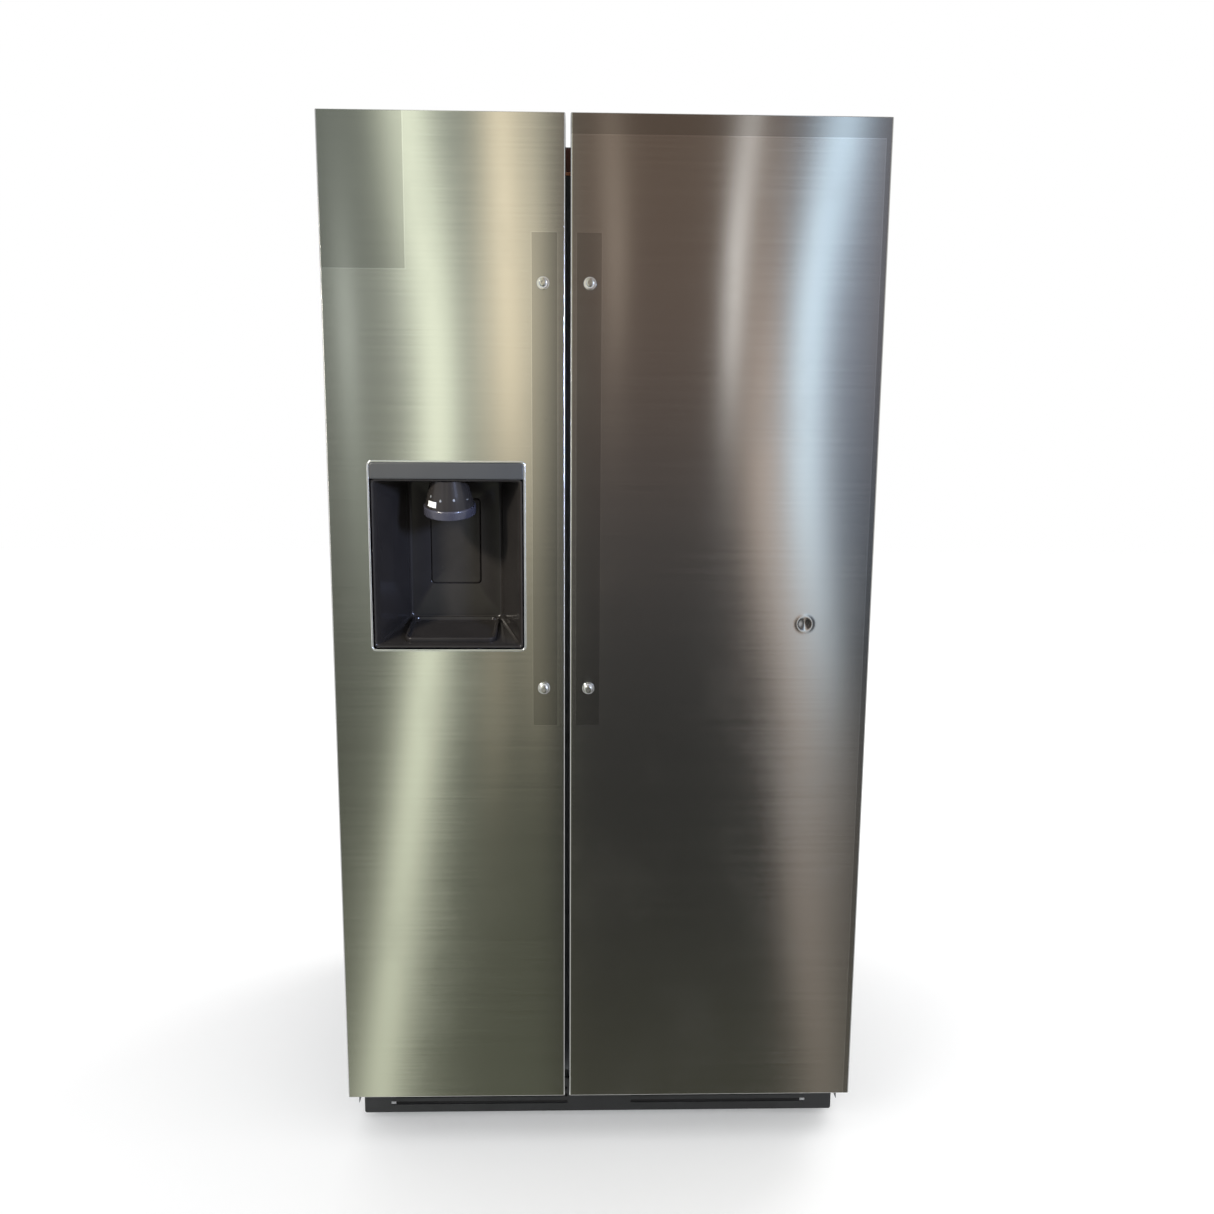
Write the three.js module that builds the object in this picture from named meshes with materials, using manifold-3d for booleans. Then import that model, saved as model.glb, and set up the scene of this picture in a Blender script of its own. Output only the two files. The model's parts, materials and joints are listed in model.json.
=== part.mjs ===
// Side by side refrigerator: freezer on the left with an ice and water dispenser in its door,
// fresh food compartment on the right. Millimetres, +Z up, front facing -Y, standing on Z = 0.
import * as THREE from "three";
import { mergeVertices } from "three/addons/utils/BufferGeometryUtils.js";
import Module from "manifold-3d";

// ---- driving dimensions ----
// doors, seen from the front
const DOOR_SET_WIDTH = 912;
const DOOR_HEIGHT = 1690;
const DOOR_THICKNESS = 68;
const DOOR_GAP = 8;
const DOOR_ABOVE_FLOOR = 94;
const SKIN_EDGE_RADIUS = 4;
const SKIN_RETURN = 60;
const TOP_CAP_HEIGHT = 48;
const BOTTOM_RECESS = 2;
// case
const CASE_DEPTH = 715;
const CASE_SIDE_INSET = 2;
const CASE_TOP_DROP = 34;
const CASE_BASE = 96;
const PANEL_BASE = 30;
const SHEET = 1;
const SIDE_WALL = 46;
const TOP_WALL = 50;
const FLOOR_WALL = 54;
const BACK_WALL = 60;
const MULLION = 64;
const LINER_WALL = 2;
const SEAL_GAP = 12;
const GASKET_WIDTH = 20;
// machine compartment, low at the back
const MACHINE_DEPTH = 215;
const MACHINE_TOP = 300;
const MACHINE_SLOPE = 40;
const STEP_WALL = 50;
const MACHINE_COVER_INSET = 8;
// hinges
const PIN_INSET = 22;
const PIN_DEPTH = 38;
const PIN_RADIUS = 6;
const PIN_LENGTH = 20;
const HINGE_ARM = 18;
const HINGE_PLATE = 5;
const HINGE_POCKET = 70;
const HINGE_POCKET_DEPTH = 28;
const HINGE_POCKET_LIP = 11;
// door inner side
const DYKE_DEPTH = 92;
const DYKE_WIDTH = 26;
const DYKE_HINGE_CLEAR = 6;
const DYKE_SWING_CLEAR = 30;
const BIN_REACH = 110;
const BIN_HEIGHT = 120;
const BIN_WALL = 2.5;
const BIN_FLOOR_GAP = 70;
const LUG = 6;
// compartment fittings
const LEDGE = 6;
const DRAWER_FRONT = 190;
const DRAWER_WALL = 3;
const DRAWER_SIDE_GAP = 9;
const DRAWER_BACK_GAP = 10;
const DRAWER_LEVEL_GAP = 12;
const UPPER_DRAWER_HEIGHT = 180;
const SHELF_THICKNESS = 10;
const SHELF_FRONT = 140;
const SHELF_SIDE_GAP = 2;
const EVAPORATOR_SPACE = 55;
const ICE_MAKER_HEIGHT = 120;
// dispenser, centred in the freezer door
const DISPENSER_WIDTH = 261;
const DISPENSER_MARGIN = 65.5;
const DISPENSER_HEIGHT = 320;
const DISPENSER_DROP = 544;
const DISPENSER_DEPTH = 130;
const TRIM_WIDTH = 3.3;
const TRIM_RADIUS = 9;
const TRIM_PROUD = 1.8;
const TRIM_LENGTH = 16;
const BAND_HEIGHT = 27;
const HOUSING_WALL = 2.5;
const RECESS_TAPER = 44;
const RECESS_FLOOR_RISE = 31;
const PADDLE_WIDTH = 87;
const PADDLE_HEIGHT = 150;
const PADDLE_THICKNESS = 6;
const PADDLE_SWING = 13;
const CHUTE_RADIUS = 44;
const CHUTE_BORE = 31;
const CHUTE_LENGTH = 66;
const CHUTE_BEHIND_FACE = 52;
const CHUTE_TILT = 14;
const CHUTE_DROP = 90;
const TRAY_WIDTH = 156;
const TRAY_DEPTH = 104;
const TRAY_HEIGHT = 9;
const BULGE_WALL = 20;
// ice bin on the freezer door
const ICE_BIN_HEIGHT = 265;
const ICE_BIN_DEPTH = 130;
const AUGER_RADIUS = 40;
const AUGER_WIRE = 4;
// handle studs
const STUD_REACH = 14;
const STUD_RADIUS = 6.3;
const STUD_TOP_DROP = 260;
const STUD_SPACING = 668;
const STUD_EDGE_FREEZER = 36;
const STUD_EDGE_FRIDGE = 31.5;
// running gear
const FOOT_RADIUS = 20;
const FOOT_HEIGHT = 14;
const FOOT_STEM = 5;
const FOOT_SETBACK = 60;
const ROLLER_RADIUS = 22;
const ROLLER_WIDTH = 22;
const ROLLER_FROM_BACK = 60;
const AXLE_RADIUS = 4;
const RAIL_WIDTH = 46;
const RAIL_INSET = 8;
const DECK = 46;
// gaps between neighbours
const FIT = 0.3;
const RUNNING = 0.4;

// ---- places that follow from them ----
const DOOR_TOP = DOOR_ABOVE_FLOOR + DOOR_HEIGHT;
const FREEZER_DOOR_WIDTH = DISPENSER_WIDTH + 2 * DISPENSER_MARGIN;
const CASE_TOP = DOOR_TOP - CASE_TOP_DROP;
const CASE_HALF = DOOR_SET_WIDTH / 2 - CASE_SIDE_INSET;
const FULL_DEPTH = STUD_REACH + DOOR_THICKNESS + SEAL_GAP + CASE_DEPTH;
const FACE_Y = STUD_REACH - FULL_DEPTH / 2;
const CASE_FRONT_Y = FACE_Y + DOOR_THICKNESS + SEAL_GAP;
const GAP_CENTRE = FREEZER_DOOR_WIDTH + DOOR_GAP / 2 - DOOR_SET_WIDTH / 2;
const FRIDGE_DOOR_WIDTH = DOOR_SET_WIDTH - FREEZER_DOOR_WIDTH - DOOR_GAP;
const COMPARTMENT = {
  floor: CASE_BASE + FLOOR_WALL,
  top: CASE_TOP - TOP_WALL,
  back: CASE_DEPTH - BACK_WALL,
  stepFront: CASE_DEPTH - MACHINE_DEPTH - STEP_WALL,
  stepTop: MACHINE_TOP + STEP_WALL,
};
const FREEZER = { left: SIDE_WALL - CASE_HALF, right: GAP_CENTRE - MULLION / 2 };
const FRIDGE = { left: GAP_CENTRE + MULLION / 2, right: CASE_HALF - SIDE_WALL };
const UPPER_DRAWER_FLOOR = COMPARTMENT.stepTop + DRAWER_LEVEL_GAP;
const FIRST_SHELF = UPPER_DRAWER_FLOOR + UPPER_DRAWER_HEIGHT + DRAWER_LEVEL_GAP;

// ---- materials ----
const finish = (name, color, roughness, metalness) =>
  new THREE.MeshStandardMaterial({ name, color, roughness, metalness });
const STAINLESS = finish("stainless", 0x8c8d86, 0.32, 1);
const BRIGHT_METAL = finish("bright_metal", 0xd0d2d4, 0.2, 1);
const PAINTED_GREY = finish("painted_grey", 0x5d6063, 0.5, 0.3);
const GALVANISED = finish("galvanised", 0x9ea3a6, 0.45, 0.9);
const WHITE_LINER = finish("white_liner", 0xeef0f1, 0.35, 0);
const CAP_PLASTIC = finish("cap_plastic", 0x2b2d2f, 0.5, 0);
const FOAM = finish("foam", 0xe8dca8, 0.9, 0);
const GASKET_GREY = finish("gasket_grey", 0x7d8083, 0.7, 0);
const CLEAR_PLASTIC = finish("clear_plastic", 0xdfe8ee, 0.15, 0);
const SHELF_GLASS = finish("shelf_glass", 0xd5e4e2, 0.08, 0);
const RECESS_BLACK = finish("recess_black", 0x1b1b1e, 0.3, 0);
const BAND_GREY = finish("band_grey", 0x4b4e4e, 0.4, 0);
const CHUTE_GREY = finish("chute_grey", 0x3a3e46, 0.3, 0);
const COMPRESSOR_BLACK = finish("compressor_black", 0x17181a, 0.45, 0.2);
const ALUMINIUM_FIN = finish("aluminium_fin", 0xb9bec2, 0.4, 1);
const RUBBER_BLACK = finish("rubber_black", 0x1c1c1d, 0.8, 0);

// ---- solids: only cutting and joining ----
const wasm = await Module();
wasm.setup();

function solidOf(geometry) {
  const bare = geometry.clone();
  bare.deleteAttribute("normal");
  bare.deleteAttribute("uv");
  const merged = mergeVertices(bare, 1e-4);
  const vertProperties = merged.attributes.position.array;
  const triVerts = new Uint32Array(merged.index.array);
  return new wasm.Manifold(new wasm.Mesh({ numProp: 3, vertProperties, triVerts }));
}

function geometryOf(solid) {
  const { vertProperties, triVerts, numProp } = solid.getMesh();
  const geometry = new THREE.BufferGeometry();
  const points = new Float32Array((vertProperties.length / numProp) * 3);
  for (let i = 0; i < points.length / 3; i += 1) {
    points.set(vertProperties.subarray(i * numProp, i * numProp + 3), i * 3);
  }
  geometry.setAttribute("position", new THREE.BufferAttribute(points, 3));
  geometry.setIndex(new THREE.BufferAttribute(triVerts, 1));
  geometry.computeVertexNormals();
  return geometry;
}

// One solid from those added, less those cut.
function build(added, cut = []) {
  let solid = solidOf(added[0]);
  for (const geometry of added.slice(1)) solid = solid.add(solidOf(geometry));
  for (const geometry of cut) solid = solid.subtract(solidOf(geometry));
  return geometryOf(solid);
}

// ---- shapes ----
const block = (x0, x1, y0, y1, z0, z1) =>
  new THREE.BoxGeometry(x1 - x0, y1 - y0, z1 - z0).translate(
    (x0 + x1) / 2,
    (y0 + y1) / 2,
    (z0 + z1) / 2,
  );

const outline = (points) => new THREE.Shape(points.map(([u, v]) => new THREE.Vector2(u, v)));

function roundedRect(u0, u1, v0, v1, r) {
  const shape = new THREE.Shape();
  shape.absarc(u1 - r, v0 + r, r, -Math.PI / 2, 0);
  shape.absarc(u1 - r, v1 - r, r, 0, Math.PI / 2);
  shape.absarc(u0 + r, v1 - r, r, Math.PI / 2, Math.PI);
  shape.absarc(u0 + r, v0 + r, r, Math.PI, 1.5 * Math.PI);
  shape.closePath();
  return shape;
}

const CURVE_STEPS = 4;

function prism(shape, length) {
  const options = { depth: length, bevelEnabled: false, curveSegments: CURVE_STEPS };
  return new THREE.ExtrudeGeometry(shape, options);
}

// A shape drawn in Y and Z, carried along X.
function alongX(shape, x0, x1) {
  const turn = new THREE.Matrix4().makeBasis(
    new THREE.Vector3(0, 1, 0),
    new THREE.Vector3(0, 0, 1),
    new THREE.Vector3(1, 0, 0),
  );
  return prism(shape, x1 - x0).applyMatrix4(turn).translate(x0, 0, 0);
}

// A shape drawn in X and Z, carried along Y.
const alongY = (shape, y0, y1) =>
  prism(shape, y1 - y0).rotateX(Math.PI / 2).translate(0, y1, 0);

// A shape drawn in X and Y, carried up Z.
const alongZ = (shape, z0, z1) => prism(shape, z1 - z0).translate(0, 0, z0);

const rodX = (r, x0, x1, y, z, sides = 20) =>
  new THREE.CylinderGeometry(r, r, x1 - x0, sides)
    .rotateZ(Math.PI / 2)
    .translate((x0 + x1) / 2, y, z);
const rodY = (r, x, y0, y1, z, sides = 20) =>
  new THREE.CylinderGeometry(r, r, y1 - y0, sides).translate(x, (y0 + y1) / 2, z);
const rodZ = (r, x, y, z0, z1, sides = 20) =>
  new THREE.CylinderGeometry(r, r, z1 - z0, sides)
    .rotateX(Math.PI / 2)
    .translate(x, y, (z0 + z1) / 2);

// A block whose front (low Y) and back (high Y) rectangles differ.
function taperedBlock(y0, front, y1, back) {
  const ring = (y, [x0, x1, z0, z1]) => [x0, y, z0, x1, y, z0, x1, y, z1, x0, y, z1];
  const geometry = new THREE.BufferGeometry();
  const points = new Float32Array([...ring(y0, front), ...ring(y1, back)]);
  geometry.setAttribute("position", new THREE.BufferAttribute(points, 3));
  const quads = [
    [0, 1, 2, 3],
    [5, 4, 7, 6],
    [1, 5, 6, 2],
    [4, 0, 3, 7],
    [3, 2, 6, 7],
    [4, 5, 1, 0],
  ];
  geometry.setIndex(quads.flatMap(([a, b, c, d]) => [a, b, c, a, c, d]));
  return geometry;
}

// An open-topped container: x0..x1, y0..y1, z0..z1 outside, with one wall thickness.
function container(x0, x1, y0, y1, z0, z1, wall, extras = []) {
  const hollow = block(x0 + wall, x1 - wall, y0 + wall, y1 - wall, z0 + wall, z1 + wall);
  return build([block(x0, x1, y0, y1, z0, z1), ...extras], [hollow]);
}

function piece(group, name, geometry, material) {
  const mesh = new THREE.Mesh(geometry, material);
  mesh.name = name;
  group.add(mesh);
  return mesh;
}

// A bladed wheel on the Y axis, its hub from 0 to length, built at the origin.
function fanWheel(hub, radius, length, blades) {
  const parts = [rodY(hub, 0, 0, length, 0, 24)];
  const pitch = Math.PI / 5;
  for (let i = 0; i < blades; i += 1) {
    const blade = new THREE.BoxGeometry(radius - hub / 2, 1.6, length * 1.05)
      .rotateX(pitch)
      .translate((radius + hub / 2) / 2, length / 2, 0)
      .rotateY((i * 2 * Math.PI) / blades);
    parts.push(blade);
  }
  return build(parts);
}

// ---- case: panels, insulation and liners; Y counts back from the case front ----
// The underside of the insulated box steps up over the machine compartment.
function stepLine(front, floor, slopeFront, top, back) {
  return [
    [front, floor],
    [slopeFront, floor],
    [slopeFront + MACHINE_SLOPE, top],
    [back, top],
  ];
}

function makeShell(group) {
  const side = (x0, name) =>
    piece(group, name, block(x0, x0 + SHEET, SHEET + FIT, CASE_DEPTH, PANEL_BASE, CASE_TOP), PAINTED_GREY);
  side(-CASE_HALF, "side_panel_left");
  side(CASE_HALF - SHEET, "side_panel_right");
  const inner = CASE_HALF - SHEET - FIT;
  const roof = block(-inner, inner, SHEET + FIT, CASE_DEPTH, CASE_TOP - SHEET, CASE_TOP);
  piece(group, "top_panel", roof, PAINTED_GREY);
  const backTop = CASE_TOP - SHEET - FIT;
  const back = block(-inner, inner, CASE_DEPTH - SHEET, CASE_DEPTH, MACHINE_TOP + FIT, backTop);
  piece(group, "back_panel", back, GALVANISED);

  const machineFront = CASE_DEPTH - MACHINE_DEPTH;
  const floorEnd = CASE_DEPTH - SHEET - FIT;
  const lower = stepLine(SHEET + FIT, CASE_BASE, machineFront, MACHINE_TOP, floorEnd);
  const upper = lower.map(([y, z]) => [y, z + SHEET]).reverse();
  const shifted = ([y, z]) => [y - SHEET, z];
  const shiftedSlope = [upper[0], shifted(upper[1]), shifted(upper[2]), upper[3]];
  piece(group, "floor_panel", alongX(outline([...lower, ...shiftedSlope]), -inner, inner), GALVANISED);

  const low = COMPARTMENT.floor - LINER_WALL - FIT;
  const high = COMPARTMENT.top + LINER_WALL + FIT;
  const mouths = [FREEZER, FRIDGE].map(({ left, right }) => {
    const grow = LINER_WALL + FIT;
    return block(left - grow, right + grow, -1, SHEET + 1, low, high);
  });
  const frame = block(-CASE_HALF, CASE_HALF, 0, SHEET, CASE_BASE, CASE_TOP);
  piece(group, "front_frame", build([frame], mouths), PAINTED_GREY);
}

// The side view of a liner's inside, grown outwards by some thickness.
function linerOutline(grow, front) {
  const { floor, top, back, stepFront, stepTop } = COMPARTMENT;
  const step = stepLine(front, floor - grow, stepFront + grow, stepTop - grow, back + grow);
  return outline([...step, [back + grow, top + grow], [front, top + grow]]);
}

function makeLiner(group, name, room, ledges) {
  const { left, right } = room;
  const shell = alongX(linerOutline(LINER_WALL, 0), left - LINER_WALL, right + LINER_WALL);
  const hollow = alongX(linerOutline(0, -LINER_WALL), left, right);
  const hollowed = geometryOf(solidOf(shell).subtract(solidOf(hollow)));
  const rails = ledges.flatMap(({ z, y0, y1 }) => [
    block(left - LINER_WALL / 2, left + LEDGE, y0, y1, z - LEDGE, z),
    block(right - LEDGE, right + LINER_WALL / 2, y0, y1, z - LEDGE, z),
  ]);
  piece(group, name, build([hollowed, ...rails]), WHITE_LINER);
}

function makeInsulation(group) {
  const inner = CASE_HALF - SHEET - 2 * FIT;
  const front = SHEET + 2 * FIT;
  const back = CASE_DEPTH - SHEET - FIT;
  const lift = SHEET + 2 * FIT;
  const machineFront = CASE_DEPTH - MACHINE_DEPTH - lift;
  const top = CASE_TOP - SHEET - FIT;
  const step = stepLine(front, CASE_BASE + lift, machineFront, MACHINE_TOP + lift, back);
  const whole = alongX(outline([...step, [back, top], [front, top]]), -inner, inner);
  const rooms = [FREEZER, FRIDGE].map(({ left, right }) => {
    const grow = LINER_WALL + FIT;
    return alongX(linerOutline(grow, -grow), left - grow, right + grow);
  });
  piece(group, "case_insulation", build([whole], rooms), FOAM);
}

// ---- fittings inside the compartments ----
const shelfBetween = ({ left, right }, y1, z) => {
  const [x0, x1] = [left + SHELF_SIDE_GAP, right - SHELF_SIDE_GAP];
  return block(x0, x1, SHELF_FRONT, y1, z + FIT, z + FIT + SHELF_THICKNESS);
};

// A drawer with a handle lip along its front; its side rims run on the liner's ledges.
function drawer({ left, right }, y1, z0, z1) {
  const [x0, x1] = [left + DRAWER_SIDE_GAP, right - DRAWER_SIDE_GAP];
  const rim = DRAWER_SIDE_GAP - SHELF_SIDE_GAP;
  const rims = [
    block(x0 - rim, x0 + DRAWER_WALL / 2, DRAWER_FRONT + LEDGE, y1, z1 - DRAWER_WALL, z1),
    block(x1 - DRAWER_WALL / 2, x1 + rim, DRAWER_FRONT + LEDGE, y1, z1 - DRAWER_WALL, z1),
  ];
  const lip = block(x0, x1, DRAWER_FRONT - 12, DRAWER_FRONT + 1, z1 - 8, z1 - 2);
  return container(x0, x1, DRAWER_FRONT, y1, z0, z1, DRAWER_WALL, [...rims, lip]);
}

function makeFreezerInside(group) {
  const coverFront = COMPARTMENT.back - EVAPORATOR_SPACE;
  const lowerTop = COMPARTMENT.stepTop - DRAWER_LEVEL_GAP;
  const lowerFloor = COMPARTMENT.floor + LEDGE;
  const upperTop = UPPER_DRAWER_FLOOR + UPPER_DRAWER_HEIGHT;
  const lowerBack = COMPARTMENT.stepFront - DRAWER_BACK_GAP;
  const upperBack = coverFront - DRAWER_BACK_GAP;
  const makerFloor = COMPARTMENT.top - ICE_MAKER_HEIGHT - LEDGE;
  const shelfLevel = (FIRST_SHELF + makerFloor) / 2;
  const ledges = [
    { z: lowerTop - DRAWER_WALL - FIT, y0: SHELF_FRONT, y1: lowerBack },
    { z: upperTop - DRAWER_WALL - FIT, y0: SHELF_FRONT, y1: upperBack },
    { z: shelfLevel, y0: SHELF_FRONT, y1: coverFront - 2 * FIT },
  ];
  makeLiner(group, "freezer_liner", FREEZER, ledges);
  piece(group, "freezer_shelf", shelfBetween(FREEZER, coverFront - FIT, shelfLevel), SHELF_GLASS);
  const lower = drawer(FREEZER, lowerBack, lowerFloor, lowerTop);
  piece(group, "freezer_drawer_lower", lower, CLEAR_PLASTIC);
  const upper = drawer(FREEZER, upperBack, UPPER_DRAWER_FLOOR, upperTop);
  piece(group, "freezer_drawer_upper", upper, CLEAR_PLASTIC);

  // cover over the evaporator, with its return slots low down and outlets high up
  const [x0, x1] = [FREEZER.left + FIT, FREEZER.right - FIT];
  const [z0, z1] = [COMPARTMENT.stepTop + FIT, COMPARTMENT.top - FIT];
  const fanZ = z0 + 640;
  const fanX = (x0 + x1) / 2;
  const slotEdge = 40;
  const slots = [];
  for (let i = 0; i < 4; i += 1) {
    const low = z0 + 24 + i * 16;
    const high = z1 - 30 - i * 16;
    slots.push(block(x0 + slotEdge, x1 - slotEdge, coverFront - 1, coverFront + 9, low, low + 7));
    slots.push(block(x0 + slotEdge, x1 - slotEdge, coverFront - 1, coverFront + 9, high, high + 7));
  }
  const motor = rodY(18, fanX, coverFront + 1, coverFront + 15, fanZ);
  const shaft = rodY(3, fanX, coverFront + 10, coverFront + 38, fanZ, 12);
  const cover = build([block(x0, x1, coverFront, coverFront + 3, z0, z1), motor, shaft], slots);
  piece(group, "evaporator_cover", cover, WHITE_LINER);
  const wheel = build([fanWheel(14, 48, 20, 5)], [rodY(3 + RUNNING, 0, -5, 30, 0, 12)]);
  piece(group, "evaporator_fan", wheel, RECESS_BLACK).position.set(fanX, coverFront + 16, fanZ);

  // finned coil behind the cover
  const [finX0, finX1, finZ0] = [x0 + 20, x1 - 20, z0 + 110];
  const coil = [block(finX0, finX1, coverFront + 24, coverFront + 30, finZ0, finZ0 + 380)];
  for (let i = 0; i < 12; i += 1) {
    const z = finZ0 + (i * 374) / 11;
    coil.push(block(finX0, finX1, coverFront + 8, coverFront + 48, z, z + 6));
  }
  piece(group, "evaporator", build(coil), ALUMINIUM_FIN);

  // ice maker hung under the ceiling at the hinge side
  const mould = build(
    [
      block(x0 + 6, x0 + 128, SHELF_FRONT + 20, SHELF_FRONT + 60, makerFloor, z1 - LEDGE),
      block(x0 + 20, x0 + 120, SHELF_FRONT + 59, SHELF_FRONT + 250, makerFloor + 20, makerFloor + 66),
      block(x0 + 12, x0 + 20.5, SHELF_FRONT + 59, SHELF_FRONT + 250, makerFloor + 20, z1 - LEDGE),
    ],
    [rodY(26, x0 + 70, SHELF_FRONT + 64, SHELF_FRONT + 245, makerFloor + 66, 20)],
  );
  piece(group, "ice_maker", mould, CAP_PLASTIC);
}

function makeFridgeInside(group) {
  const back = COMPARTMENT.back - FIT;
  const lowerTop = COMPARTMENT.stepTop - DRAWER_LEVEL_GAP;
  const upperTop = UPPER_DRAWER_FLOOR + UPPER_DRAWER_HEIGHT;
  const lowerBack = COMPARTMENT.stepFront - DRAWER_BACK_GAP;
  const upperBack = COMPARTMENT.back - DRAWER_BACK_GAP;
  const shelfCount = 3;
  const pitch = (COMPARTMENT.top - FIRST_SHELF) / shelfCount;
  const levels = Array.from({ length: shelfCount }, (_, i) => FIRST_SHELF + i * pitch);
  const ledges = [
    { z: lowerTop - DRAWER_WALL - FIT, y0: SHELF_FRONT, y1: lowerBack },
    { z: upperTop - DRAWER_WALL - FIT, y0: SHELF_FRONT, y1: upperBack },
    ...levels.map((z) => ({ z, y0: SHELF_FRONT, y1: back - FIT })),
  ];
  makeLiner(group, "fridge_liner", FRIDGE, ledges);
  levels.forEach((z, i) => {
    piece(group, `fridge_shelf_${i + 1}`, shelfBetween(FRIDGE, back, z), SHELF_GLASS);
  });
  const lower = drawer(FRIDGE, lowerBack, COMPARTMENT.floor + LEDGE, lowerTop);
  piece(group, "crisper_lower", lower, CLEAR_PLASTIC);
  const upper = drawer(FRIDGE, upperBack, UPPER_DRAWER_FLOOR, upperTop);
  piece(group, "crisper_upper", upper, CLEAR_PLASTIC);
}

// ---- base: frame, running gear, cooling machine, toe plate ----
function makeBase(group) {
  const railOuter = CASE_HALF - RAIL_INSET;
  const railInner = railOuter - RAIL_WIDTH;
  const railMid = railOuter - RAIL_WIDTH / 2;
  const railTop = CASE_BASE - FIT;
  const railFront = 14;
  const frameBack = CASE_DEPTH - 20;
  const deckFront = CASE_DEPTH - MACHINE_DEPTH + 8;
  const rollerY = CASE_DEPTH - ROLLER_FROM_BACK;
  const wheelGap = 2;
  const cheek = 3;
  const added = [
    block(-railInner - 1, railInner + 1, railFront, railFront + 30, DECK, railTop),
    block(-railInner - 1, railInner + 1, deckFront, frameBack, DECK, DECK + 3),
  ];
  const cut = [];
  for (const s of [-1, 1]) {
    const [a, b] = [s * railInner, s * railOuter].sort((p, q) => p - q);
    const front = deckFront + 20;
    added.push(block(a, b, railFront, front, DECK, railTop));
    added.push(block(a, b, front - 1, frameBack, DECK, DECK + 8));
    const half = ROLLER_WIDTH / 2 + wheelGap;
    for (const side of [-1, 1]) {
      const near = s * railMid + side * half;
      const far = near + side * cheek;
      const [p, q] = [near, far].sort((m, n) => m - n);
      added.push(block(p, q, rollerY - 9, rollerY + 9, ROLLER_RADIUS - 9, DECK + 1));
    }
    const reach = half + cheek;
    added.push(rodX(AXLE_RADIUS, s * railMid - reach, s * railMid + reach, rollerY, ROLLER_RADIUS, 16));
    cut.push(rodZ(FOOT_STEM + RUNNING, s * railMid, FOOT_SETBACK, DECK - 5, railTop + 5, 20));
  }
  piece(group, "base_frame", build(added, cut), GALVANISED);

  const stemTop = railTop - 6;
  const footProfile = [
    [0, 0],
    [FOOT_RADIUS - 2, 0],
    [FOOT_RADIUS, 3],
    [FOOT_RADIUS, FOOT_HEIGHT - 4],
    [FOOT_RADIUS - 5, FOOT_HEIGHT],
    [FOOT_STEM, FOOT_HEIGHT],
    [FOOT_STEM, stemTop],
    [0, stemTop],
  ].map(([r, z]) => new THREE.Vector2(r, z));
  for (const [s, name] of [[-1, "foot_left"], [1, "foot_right"]]) {
    const foot = new THREE.LatheGeometry(footProfile, 24).rotateX(Math.PI / 2);
    piece(group, name, foot, RUBBER_BLACK).position.set(s * railMid, FOOT_SETBACK, 0);
  }

  const half = ROLLER_WIDTH / 2;
  const bore = AXLE_RADIUS + RUNNING;
  const rollerProfile = [
    [bore, -half],
    [ROLLER_RADIUS - 2, -half],
    [ROLLER_RADIUS, 2 - half],
    [ROLLER_RADIUS, half - 2],
    [ROLLER_RADIUS - 2, half],
    [bore, half],
    [bore, -half],
  ].map(([r, z]) => new THREE.Vector2(r, z));
  for (const [s, name] of [[-1, "roller_left"], [1, "roller_right"]]) {
    const wheel = new THREE.LatheGeometry(rollerProfile, 32).rotateZ(Math.PI / 2);
    piece(group, name, wheel, CAP_PLASTIC).position.set(s * railMid, rollerY, ROLLER_RADIUS);
  }

  // toe plate with three long air slots on each side of its middle
  const plateHalf = CASE_HALF - 12;
  const [plateLow, plateHigh] = [14, DOOR_ABOVE_FLOOR - 13];
  const toe = alongY(roundedRect(-plateHalf, plateHalf, plateLow, plateHigh, 4), -6, -3);
  const slots = [];
  for (const s of [-1, 1]) {
    for (let i = 0; i < 3; i += 1) {
      const z = plateLow + 16 + i * 14;
      const [a, b] = [s * 60, s * (plateHalf - 50)].sort((p, q) => p - q);
      slots.push(block(a, b, -9, 0, z, z + 6));
    }
  }
  piece(group, "kick_plate", build([toe], slots), CAP_PLASTIC);
}

const VENTS = { count: 18, pitch: 30, width: 12, fromEdge: 60, low: DECK + 50, high: MACHINE_TOP - 60 };
const GLAND = { fromEdge: 70, z: MACHINE_TOP - 60, radius: 9, flange: 13, cord: 4 };
const POT = {
  x: 250,
  profile: [
    [0, 12], [62, 12], [78, 30], [80, 70], [82, 72], [82, 80],
    [80, 82], [76, 120], [60, 150], [30, 162], [0, 165],
  ],
  plateHalf: [100, 60],
  padAt: [84, 44],
  padRadius: 12,
};
const COIL = { left: -380, right: -130, fins: 12, fin: 4, halfDeep: 66, rise: 6, top: 190 };
const FAN = { hub: 16, tip: 66, depth: 22, blades: 5, shaft: 3, mount: 36 };

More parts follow.
